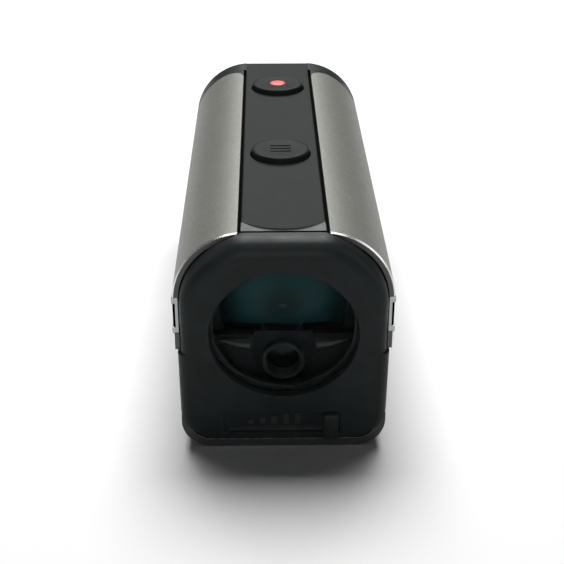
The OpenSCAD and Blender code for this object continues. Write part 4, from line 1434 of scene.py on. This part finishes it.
@dataclass
class Studio:
    """Pale floor, soft lights and the camera."""

    eye: Point = (-3.5, -254.455, 137.6)
    pitch_deg: float = 27.07
    yaw_deg: float = 0.92
    lens_mm: float = 76.15
    sensor_mm: float = 36.0
    clip_m: Point2 = (0.01, 20.0)
    air: float = 0.055
    floor_low: Point = (-4000, -2500, -4.0)
    floor_high: Point = (4000, 6000, -0.02)
    boxes: tuple[SoftBox, ...] = (
        SoftBox("back_box", (0, 400, 1000), (0, 0, 20), (700, 700), 16.0, False),
        SoftBox("far_box", (0, 900, 700), (0, 0, 20), (500, 300), 5.0),
        SoftBox("left_box", (-900, 0, 420), (0, 0, 30), (300, 900), 1.5),
        SoftBox("right_box", (900, -300, 420), (0, 0, 30), (300, 900), 1.5),
        SoftBox("rim_box", (0, -480, 900), (0, -50, 40), (1000, 90), 1.6),
        SoftBox("front_box", (-60, -1000, 330), (0, 0, 20), (700, 500), 3.4),
    )

    def build_floor(self) -> bpy.types.Collection:
        """A pale sheet under the object.

        Returns:
            A collection that keeps lamps linked to it off the floor.
        """
        draft = MeshDraft()
        draft.box(self.floor_low, self.floor_high)
        bench = NodeBench("floor_pale")
        fibre = bench.noise(12.0, 3.0, 0.5)
        bench.link(bench.blend(fibre, (0.90, 0.90, 0.90), (0.92, 0.92, 0.92)),
                   bench.shader.inputs["Base Color"])
        bench.put(Roughness=0.9, Specular_IOR_Level=0.1)
        floor = to_object("studio_floor", draft, [bench.material])
        spare = bpy.data.collections.new("not_lit_by_fill")
        spare.objects.link(floor)
        spare.collection_objects[0].light_linking.link_state = "EXCLUDE"
        return spare

    def build_lights(self, spare: bpy.types.Collection) -> None:
        """Even white surroundings with soft boxes above and to the sides.

        Args:
            spare: What the fill lamps leave alone.
        """
        world = bpy.data.worlds.new("studio_air")
        world.use_nodes = True
        ground = world.node_tree.nodes["Background"]
        ground.inputs["Color"].default_value = (1.0, 1.0, 1.0, 1.0)
        ground.inputs["Strength"].default_value = self.air
        bpy.context.scene.world = world
        bpy.context.scene.view_settings.view_transform = "Standard"
        for box in self.boxes:
            box.hang(spare)

    def build_camera(self) -> None:
        """Camera above and in front of the window."""
        data = bpy.data.cameras.new("front_camera")
        data.lens = self.lens_mm
        data.sensor_width = self.sensor_mm
        data.clip_start, data.clip_end = self.clip_m
        camera = bpy.data.objects.new("front_camera", data)
        camera.location = Vector(self.eye) * MM
        camera.rotation_euler = (math.radians(90 - self.pitch_deg), 0.0,
                                 math.radians(-self.yaw_deg))
        bpy.context.scene.collection.objects.link(camera)
        bpy.context.scene.camera = camera

    def build(self) -> None:
        """Build the floor, the lights and the camera."""
        spare = self.build_floor()
        self.build_lights(spare)
        self.build_camera()


# ---------- Shells, strip, trims and tray ----------


@dataclass
class ShellGroup:
    """Side shells with cut front edges, and the trims let into them."""

    book: FinishBook
    shape: CaseShape
    wall: float = 1.2
    cut_edge: float = 0.28
    steps: int = 44
    rear_corner: float = 5.0
    straight: Point2 = (40.0, 30.0)
    trim_rim: float = 0.9
    mouth_rim: float = 1.2
    ribs: int = 6
    rib_depth: float = 0.16

    def _corner_cut(self, x: float) -> float:
        """How much shorter the shell is, for a rounded rear corner by the strip.

        Args:
            x: Distance from the middle of the case.

        Returns:
            The length left out.
        """
        r = self.rear_corner
        into = min(max(r - (x - self.shape.band_half), 0.0), r)
        return r - math.sqrt(r * r - into * into)

    def _section(self, inset: float, reach_in: float) -> list[Point2]:
        """Half of a shell's section, from its lower edge up to the band.

        Args:
            inset: How far the line lies inside the shell's outside.
            reach_in: How far the two ends draw in along the line.

        Returns:
            Points (x, z) of the line.
        """
        s = self.shape
        centre = (s.half - s.corner_r, s.top - s.corner_r)
        line = [(s.half - inset, s.shell_low + reach_in)]
        line += arc(centre, s.corner_r - inset, 0, 90, self.steps)
        line = [p for p in line if p[0] > s.band_half + reach_in + 0.05]
        radius = s.corner_r - inset
        end_x = s.band_half + reach_in
        line.append((end_x, centre[1] + math.sqrt(radius ** 2 - (end_x - centre[0]) ** 2)))
        return line

    def _build_shell(self, side: int, name: str, node: str) -> None:
        """One shell.

        Args:
            side: 1 for the right, -1 for the left.
            name: Name of the piece.
            node: The node that it stands for.
        """
        s, c = self.shape, self.cut_edge
        outer, eased = self._section(0.0, 0.0), self._section(c, 0.0)
        inner = self._section(self.wall, 0.0)
        inner = self._matched(inner, len(outer))
        eased = self._matched(eased, len(outer))
        rows = [(inner, s.y_shell), (eased, s.y_shell), (outer, s.y_shell + c)]
        stops = (s.y_shell + self.straight[0], s.y_rear - self.straight[1], s.y_rear - c)
        rows += [(outer, y) for y in stops]
        rows += [(eased, s.y_rear), (inner, s.y_rear)]
        draft = MeshDraft()
        rings = [draft.ring([(side * x, y - self._corner_cut(x) * (y > s.y_rear - 1), z)
                             for x, z in line]) for line, y in rows]
        marks = [2, 1, 0, 0, 0, 0, 2, 2]
        for i in range(len(rings)):
            draft.skin(rings[i], rings[(i + 1) % len(rings)], marks[i], closed=False)
        for end in (0, -1):
            draft.cap([ring[end] for ring in rings], 2)
        shell = to_object(name, draft, [self.book.get(Slot.SHELL_METAL),
                                        self.book.get("shell_edge"), self.book.get("shell_rim")],
                          20.0)
        low, high = reach("right_trim_frame")
        notch = MeshDraft()
        x0, x1 = sorted((side * (s.half - 3), side * (s.half + 3)))
        notch.box((x0, low.y - 1, low.z - 0.05), (x1, high.y + 0.05, high.z + 0.05))
        cut(shell, [notch])
        shade(shell, 30.0)
        bevel(shell, 0.07, 50, 2)
        settle(shell, Body.CASE, Slot.SHELL_METAL, node)

    def _build_corner(self, side: int, name: str) -> None:
        """Black filler of the shell's rounded rear corner, level with the rear bezel.

        Args:
            side: 1 for the right, -1 for the left.
            name: Name of the piece.
        """
        s = self.shape
        far = s.band_half + self.rear_corner + 1.0
        outer = [p for p in self._section(0.04, 0.0) if p[0] < far]
        inner = [p for p in self._section(1.0, 0.0) if p[0] < far]
        profile = [(side * x, z) for x, z in outer + inner[::-1]]
        draft = MeshDraft()
        draft.loft([[(x, y, z) for x, z in profile]
                    for y in (s.y_rear - self.rear_corner - 0.8, s.y_rear + 0.01)])
        settle(to_object(name, draft, [self.book.get(Slot.BLACK_CASE)], 30.0),
               Body.CASE, Slot.BLACK_CASE)

    @staticmethod
    def _matched(line: Sequence[Point2], count: int) -> list[Point2]:
        """Spread a line evenly over a number of points, with its ends kept.

        Args:
            line: Points of the line.
            count: How many points it gets.

        Returns:
            The points.
        """
        lengths = [0.0]
        for a, b in zip(line, line[1:]):
            lengths.append(lengths[-1] + math.dist(a, b))
        if len(line) == count:
            return list(line)
        out: list[Point2] = []
        k = 0
        for i in range(count):
            want = lengths[-1] * i / (count - 1)
            while k < len(line) - 2 and lengths[k + 1] < want:
                k += 1
            part = (want - lengths[k]) / (lengths[k + 1] - lengths[k] or 1.0)
            out.append((line[k][0] + (line[k + 1][0] - line[k][0]) * part,
                        line[k][1] + (line[k + 1][1] - line[k][1]) * part))
        return out

    def _build_trim(self, side: int, name: str, node: str) -> None:
        """Bright frame of one trim, a rounded loop round a recess.

        Args:
            side: 1 for the right, -1 for the left.
            name: Name of the piece.
            node: The node that it stands for.
        """
        low, high = reach(node)
        draft = MeshDraft()
        draft.box(tuple(low), tuple(high))
        trim = to_object(name, draft, [self.book.get(Slot.TRIM_CHROME)])
        recess = MeshDraft()
        x0, x1 = sorted((side * (self.shape.half - self.wall + 0.5),
                         side * (self.shape.half + 3)))
        rim = self.trim_rim
        recess.box((x0, low.y + rim, low.z + rim), (x1, high.y - rim, high.z - rim))
        mouth = MeshDraft()
        m0, m1 = sorted((side * (self.shape.half - 0.55), side * (self.shape.half + 3)))
        rim = self.mouth_rim
        mouth.box((m0, low.y - 1, low.z + rim), (m1, low.y + rim, high.z - rim))
        cut(trim, [recess, mouth])
        bevel(trim, 0.16, 40, 3)
        settle(trim, Body.CASE, Slot.TRIM_CHROME, node)

    def _build_insert(self, name: str, node: str) -> None:
        """Black insert of one trim, with fine ribs along it.

        Args:
            name: Name of the piece.
            node: The node that it stands for.
        """
        low, high = reach(node)
        side = 1 if low.x > 0 else -1
        out = high.x if side > 0 else low.x
        back = low.x if side > 0 else high.x
        ribs, depth = self.ribs, self.rib_depth
        pitch = (high.z - low.z) / ribs
        line: list[Point2] = [(back, low.z)]
        for i in range(ribs):
            z = low.z + i * pitch
            line += [(out - side * depth, z), (out, z + pitch * 0.2), (out, z + pitch * 0.8)]
        line += [(out - side * depth, high.z), (back, high.z)]
        draft = MeshDraft()
        draft.loft([[(x, low.y, z) for x, z in line], [(x, high.y, z) for x, z in line]])
        insert = to_object(name, draft, [self.book.get(Slot.TRIM_INSERT)])
        bevel(insert, 0.05, 30, 2)
        settle(insert, Body.CASE, Slot.TRIM_INSERT, node)

    def build(self) -> None:
        """Build both sides."""
        for side, word in ((1, "right"), (-1, "left")):
            self._build_shell(side, f"{word}_shell_skin", f"{word}_shell")
            self._build_corner(side, f"{word}_rear_corner_fill")
            self._build_trim(side, f"{word}_trim_loop", f"{word}_trim_frame")
            self._build_insert(f"{word}_trim_ribs", f"{word}_trim_insert")


@dataclass
class StripGroup:
    """Top strip with its front facet, the grooves beside it and the two buttons in it."""

    book: FinishBook
    shape: CaseShape
    bevel_r: float = 11.7
    bevel_deg: float = 7.0
    hole_r: float = 6.3
    button_r: float = 6.05
    rim: float = 0.42
    dot_r: float = 1.87
    dish: float = 0.1
    front_gap: float = 0.8
    ease: float = 0.22
    facet_back: float = 1.1
    facet_flat: float = 0.36
    facet_sink: float = 0.004
    facet_spread_deg: float = 35.0

    def _button_y(self, node: str) -> float:
        """Middle of a button along the case."""
        low, high = reach(node)
        return (low.y + high.y) / 2

    def build_strip(self) -> None:
        """The strip, its facet and its two holes."""
        low, high = reach("top_strip")
        ease = self.ease
        line = [(-high.x, low.z), (high.x, low.z), (high.x, high.z - ease),
                (high.x - 0.07, high.z - 0.07), (high.x - ease, high.z)]
        line += [(-x, z) for x, z in reversed(line[2:])]
        draft = MeshDraft()
        draft.loft([[(x, low.y + self.front_gap, z) for x, z in line],
                    [(x, high.y, z) for x, z in line]])
        strip = to_object("top_strip_skin", draft, [self.book.get(Slot.STRIP_BLACK),
                                                    self.book.get("strip_facet")])
        # the facet gets material index 1, the painted highlight colour
        wedge = self._facet_wedge(low.y, high.z)
        holes = []
        for node in ("mode_cap", "power_cap"):
            hole = MeshDraft()
            y = self._button_y(node)
            hole.revolve([(0, low.z - 1), (self.hole_r, low.z - 1), (self.hole_r, high.z - ease),
                          (self.hole_r + 0.3, high.z + 0.08), (self.hole_r + 0.3, high.z + 1),
                          (0, high.z + 1)], about_z(y), 96)
            holes.append(hole)
        cut(strip, [wedge, *holes])
        shade(strip, 20.0)
        bevel(strip, 0.05, 45, 2)
        settle(strip, Body.CASE, Slot.STRIP_BLACK, "top_strip")

    def _facet_wedge(self, front: float, top: float) -> MeshDraft:
        """What is taken off the strip's front end, down to a round edge.

        Args:
            front: Front end of the strip.
            top: Height of the strip.

        Returns:
            The wedge, with the facet's painted highlight colour on it.
        """
        tan = math.tan(math.radians(self.bevel_deg))
        spread = self.facet_spread_deg
        edge = arc((0, front + self.bevel_r + self.facet_back), self.bevel_r, 180 + spread,
                   360 - spread, 40)
        start = front + self.bevel_r * self.facet_flat
        far, high = front - 1, top + 1
        under = [(x, y, top - self.facet_sink - tan * max(0.0, start - y)) for x, y in edge]
        far_under = [(x, far, top - self.facet_sink - tan * (start - far)) for x, _ in edge]
        wedge = MeshDraft()
        rings = [wedge.ring(r) for r in ([(x, y, high) for x, y in edge], under, far_under,
                                         [(x, far, high) for x, _ in edge])]
        for i in range(4):
            wedge.skin(rings[i], rings[(i + 1) % 4], 1, closed=False)
        wedge.cap([r[0] for r in rings])
        wedge.cap([r[-1] for r in rings])
        return wedge

    def build_liners(self) -> None:
        """Near-black floors of the grooves beside the strip and at its front end: painted shade in
        the gaps.
        """
        low, high = reach("top_strip")
        draft = MeshDraft()
        for side in (-1, 1):
            x0, x1 = sorted((side * (high.x + 0.04), side * (self.shape.band_half - 0.04)))
            draft.box((x0, self.shape.y_shell + 0.6, low.z - 0.08),
                      (x1, self.shape.y_rear - 0.1, low.z + 0.25))
        draft.box((-high.x, self.shape.y_shell + 0.56, low.z - 0.08),
                  (high.x, low.y + self.front_gap - 0.03, low.z + 0.15))
        liners = to_object("strip_groove_shade_liners", draft, [self.book.get("groove")])
        settle(liners, Body.CASE, Slot.INNER_BLACK)

    def _cap_profile(self, node: str) -> list[Point2]:
        """Profile of a button from its flange up, with an eased rim and a slight dish.

        Args:
            node: The node that the button stands for.

        Returns:
            Points (radius, height).
        """
        low, high = reach(node)
        r, top = self.button_r, high.z
        flange_r = high.x
        profile = [(0, low.z), (flange_r - 0.1, low.z), (flange_r, low.z + 0.1),
                   (flange_r, low.z + 0.7), (flange_r - 0.1, low.z + 0.8), (r, low.z + 0.8)]
        profile += [(r, top - self.rim), (r - 0.05, top - self.rim * 0.62),
                    (r - 0.17, top - self.rim * 0.26), (r - self.rim, top - 0.02),
                    (r - self.rim - 0.3, top)]
        profile += [(r * share, top - self.dish * part)
                    for share, part in ((0.8, 0.2), (0.5, 0.75), (0.2, 1.0), (0.0, 1.0))]
        return profile

    def build_buttons(self) -> None:
        """Power button with its red dot, and mode button with its bars."""
        for node, body, name in (("power_cap", Body.POWER, "power_cap_turned"),
                                 ("mode_cap", Body.MODE, "mode_cap_turned")):
            top = reach(node)[1].z
            y = self._button_y(node)
            draft = MeshDraft()
            draft.revolve(self._cap_profile(node), about_z(y), 128)
            cap = to_object(name, draft, [self.book.get(Slot.BUTTON_BLACK),
                                          self.book.get("mark")], 32.0)
            if body is Body.POWER:
                seat = MeshDraft()
                seat.revolve([(0, top - 0.5), (self.dot_r, top - 0.5), (self.dot_r, top + 1),
                              (0, top + 1)], about_z(y), 64)
                cut(cap, [seat])
            else:
                bars = []
                for i in (-1, 0, 1):
                    bar = MeshDraft()
                    bar.box((-2.2, y + i * 1.6 - 0.3, top - 0.32),
                            (2.2, y + i * 1.6 + 0.3, top + 1))
                    bars.append(bar)
                cut(cap, bars)
            shade(cap, 30.0)
            settle(cap, body, Slot.BUTTON_BLACK, node)
        self._build_dot()

    def _build_dot(self) -> None:
        """Low red dome with a rolled edge."""
        low, high = reach("power_dot")
        y = self._button_y("power_dot")
        r, top = self.dot_r - 0.03, high.z
        profile: list[Point2] = [(0, low.z), (r, low.z), (r, top - 0.26), (r - 0.06, top - 0.19)]
        profile += [(r * k, top - 0.16 * k * k) for k in (0.9, 0.75, 0.55, 0.3)] + [(0, top)]
        draft = MeshDraft()
        draft.revolve(profile, about_z(y), 64)
        settle(to_object("power_dot_dome", draft, [self.book.get(Slot.DOT_RED)], 40.0),
               Body.POWER, Slot.DOT_RED, "power_dot")

    def build(self) -> None:
        """Build the strip and its buttons."""
        self.build_strip()
        self.build_liners()
        self.build_buttons()


@dataclass
class RearGroup:
    """Rear bezel, eyecup and dioptre ring."""

    book: FinishBook
    shape: CaseShape
    optic_z: float = 27.0
    roll: float = 1.1
    roll_steps: int = 10
    hair: float = 0.03
    flutes: int = 36
    flute_depth: float = 0.38

    def build_bezel(self) -> None:
        """Rear bezel: the case's outline rolled over at the back, open for the eyepiece."""
        s = self.shape
        pairs = s.outline_with_inward(0.0)
        rings = [[(x, s.y_rear + 0.02, z) for (x, z), _ in pairs]]
        for i in range(self.roll_steps + 1):
            turn = math.pi / 2 * i / self.roll_steps
            inset = self.roll * (1 - math.cos(turn))
            y = s.y_back - self.roll * (1 - math.sin(turn))
            rings.append([(x + nx * inset, y, z + nz * inset)
                          for (x, z), (nx, nz) in pairs])
        draft = MeshDraft()
        draft.loft(rings)
        bezel = to_object("rear_bezel_skin", draft, [self.book.get(Slot.BLACK_CASE),
                                                     self.book.get(Slot.STRIP_BLACK)])
        skirt_outline = s.outline(s.bezel_inset, s.half - s.side_step - self.hair,
                                  s.bezel_low + self.hair, s.bezel_r)
        skirt = MeshDraft()
        skirt.loft([[(x, s.y_rear - 6, z) for x, z in skirt_outline],
                    [(x, s.y_rear + 1, z) for x, z in skirt_outline]])
        cut(bezel, [skirt], join=True)
        hollow = MeshDraft()
        inner = s.room()
        hollow.loft([[(x, s.y_rear - 8, z) for x, z in inner],
                     [(x, s.y_back - 3, z) for x, z in inner]])
        bore = MeshDraft()
        r = reach("eyepiece_sleeve")[1].z - self.optic_z - 0.8
        bore.revolve([(0, s.y_rear - 8), (r, s.y_rear - 8), (r, s.y_back - 0.3),
                      (r + 0.4, s.y_back + 0.05), (r + 0.4, s.y_back + 2), (0, s.y_back + 2)],
                     about_y(self.optic_z), 96)
        band = MeshDraft()
        band.box((-s.band_half, s.y_rear - 8, s.strip_z - 1.5), (s.band_half, s.y_rear, 60))
        clear = MeshDraft()
        half = reach("top_strip")[1].x
        clear.box((-half, s.y_rear - 0.5, s.strip_z), (half, s.y_back + 2, 60), 1)
        cut(bezel, [hollow, bore, band, clear, *s.tray_room(s.y_rear - 8, s.y_rear)])
        bevel(bezel, 0.14, 50, 2)
        settle(bezel, Body.CASE, Slot.BLACK_CASE, "rear_bezel")

    def build_eyecup(self) -> None:
        """Rubber eyecup: a flared cup with three soft rings and a rolled lip."""
        low, high = reach("eyecup")
        out = high.x
        y0, y1 = low.y, high.y
        inner = self._inner_radius("eyecup", y1 - 1.0)
        deep = self._inner_radius("eyecup", y0 + 0.4)
        span = y1 - y0
        lip = min(0.7, (out - inner) * 0.48)
        profile: list[Point2] = [(deep, y0 + 0.1), (out - 1.2, y0 + 0.1), (out - 0.55, y0 + 0.35)]
        for i in range(3):
            mid = y0 + span * (0.22 + 0.17 * i)
            profile += [(out - 0.42, mid - 0.34), (out - 0.06, mid - 0.12),
                        (out - 0.06, mid + 0.12), (out - 0.42, mid + 0.34)]
        profile += arc((out - lip, y1 - lip), lip, 0, 180, 12)
        profile += [(inner, y1 - span * 0.35), (deep, y0 + span * 0.38)]
        draft = MeshDraft()
        draft.revolve(profile, about_y(self.optic_z), 128)
        settle(to_object("eyecup_rubber", draft, [self.book.get(Slot.SEAL_RUBBER)], 50.0),
               Body.EYEPIECE, Slot.SEAL_RUBBER, "eyecup")

    def _inner_radius(self, node: str, y: float) -> float:
        """Smallest distance of a node's vertices from the eyepiece's axis.

        Args:
            node: The node.
            y: The depth near which they are sought.

        Returns:
            The distance.
        """
        found = [math.hypot(v.co.x / MM, v.co.z / MM - self.optic_z)
                 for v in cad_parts[node].data.vertices if abs(v.co.y / MM - y) < 1.6]
        return min(found)

    def build_ring(self) -> None:
        """Dioptre ring with rounded flutes."""
        low, high = reach("dioptre_ring")
        out = high.x
        inner = self._inner_radius("dioptre_ring", (low.y + high.y) / 2)
        steps = self.flutes * 8
        draft = MeshDraft()
        rows = [(inner, low.y, 0.0), (out - 0.35, low.y, 0.0), (out, low.y + 0.35, 0.0),
                (out, low.y + 0.6, 0.0), (out, low.y + 0.95, 1.0), (out, high.y - 0.95, 1.0),
                (out, high.y - 0.6, 0.0), (out, high.y - 0.35, 0.0), (out - 0.35, high.y, 0.0),
                (inner, high.y, 0.0)]
        rings = []
        for radius, y, depth in rows:
            ring = []
            for k in range(steps):
                turn = math.tau * k / steps
                dip = self.flute_depth * depth * max(0.0, math.cos(turn * self.flutes)) ** 1.5
                ring.append(((radius - dip) * math.sin(turn), y,
                             self.optic_z + (radius - dip) * math.cos(turn)))
            rings.append(draft.ring(ring))
        for i in range(len(rings)):
            draft.skin(rings[i], rings[(i + 1) % len(rings)])
        settle(to_object("dioptre_ring_fluted", draft, [self.book.get(Slot.BLACK_CASE)], 45.0),
               Body.DIOPTRE, Slot.BLACK_CASE, "dioptre_ring")

    def build(self) -> None:
        """Build the rear."""
        self.build_bezel()
        self.build_eyecup()
        self.build_ring()


# ---------- Carried-over nodes ----------


@dataclass
class CarriedNodes:
    """Nodes that keep their own mesh and get a finish and softer edges."""

    book: FinishBook
    flat_deg: float = 0.6
    edge_deg: float = 42.0

    @staticmethod
    def plan() -> dict[str, tuple[Slot | str, float]]:
        """What each carried-over node gets.

        Returns:
            Slot, or extra finish, and edge width in millimetres of each node.
        """
        return {
            "window_seal": (Slot.SEAL_RUBBER, 0.0), "window_retainer": (Slot.INNER_BLACK, 0.0),
            "baffle_plate": (Slot.INNER_BLACK, 0.12), "objective_cell": (Slot.INNER_BLACK, 0.0),
            "objective_lens": (Slot.LENS_GLASS, 0.0),
            "laser_lens": ("laser_glass", 0.0), "laser_diode": (Slot.CAN_GOLD, 0.05),
            "front_bulkhead": (Slot.INNER_BLACK, 0.0), "housing": (Slot.BLACK_CASE, 0.0),
            "bottom_tray": (Slot.TRAY_METAL, 0.15), "eyepiece_sleeve": (Slot.BLACK_CASE, 0.1),
            "prism_cage": (Slot.INNER_BLACK, 0.1), "roof_prism": (Slot.LENS_GLASS, 0.08),
            "half_prism": (Slot.LENS_GLASS, 0.08), "detector_can": (Slot.CAN_GOLD, 0.06),
            "detector_board": (Slot.BOARD_GREEN, 0.0), "display_frame": (Slot.INNER_BLACK, 0.1),
            "display": (Slot.DISPLAY_GLASS, 0.05), "main_board": (Slot.BOARD_GREEN, 0.0),
            "board_chips": (Slot.CHIP_BLACK, 0.06), "button_board": (Slot.BOARD_GREEN, 0.0),
            "power_switch": (Slot.CHIP_BLACK, 0.06), "mode_switch": (Slot.CHIP_BLACK, 0.06),
            "button_ribbon": (Slot.RIBBON_AMBER, 0.0), "slide_board": (Slot.BOARD_GREEN, 0.0),
            "battery_cradle": (Slot.INNER_BLACK, 0.0), "battery_cell": (Slot.CELL_LABEL, 0.12),
            "contact_plate": (Slot.CONTACT_STEEL, 0.0), "contact_leaf": (Slot.CONTACT_STEEL, 0.0),
            "door_pin": (Slot.SCREW_STEEL, 0.05), "tripod_bush": (Slot.BUSH_BRASS, 0.06),
            "tray_screws": (Slot.SCREW_STEEL, 0.04), "side_screws": (Slot.SCREW_STEEL, 0.04),
            "board_screws": (Slot.SCREW_STEEL, 0.04), "power_plunger": (Slot.SWITCH_WHITE, 0.08),
            "mode_plunger": (Slot.SWITCH_WHITE, 0.08), "slide_carriage": (Slot.SWITCH_WHITE, 0.06),
            "eyepiece_barrel": (Slot.INNER_BLACK, 0.0), "field_lens": (Slot.LENS_GLASS, 0.0),
            "eye_lens": (Slot.LENS_GLASS, 0.0), "battery_door": (Slot.TRAY_METAL, 0.15),
        }

    def build(self) -> None:
        """Dress every carried-over node."""
        for name, (slot, edge) in self.plan().items():
            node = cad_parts[name]
            node.data.materials.clear()
            node.data.materials.append(self.book.get(slot))
            for face in node.data.polygons:
                face.material_index = 0
            if edge:
                flat = node.modifiers.new("flats", "DECIMATE")
                flat.decimate_type = "DISSOLVE"
                flat.angle_limit = math.radians(self.flat_deg)
                bevel(node, edge, self.edge_deg, 2)
            log.info("%s: finished in %s", name, slot)


def main() -> None:
    """Build every group in order."""
    logging.basicConfig(level=logging.INFO, format="%(message)s")
    book = FinishBook()
    shape = CaseShape()
    Studio().build()
    FrontGroup(book, shape).build()
    ShellGroup(book, shape).build()
    StripGroup(book, shape).build()
    RearGroup(book, shape).build()
    CarriedNodes(book).build()


if __name__ == "__main__":
    main()
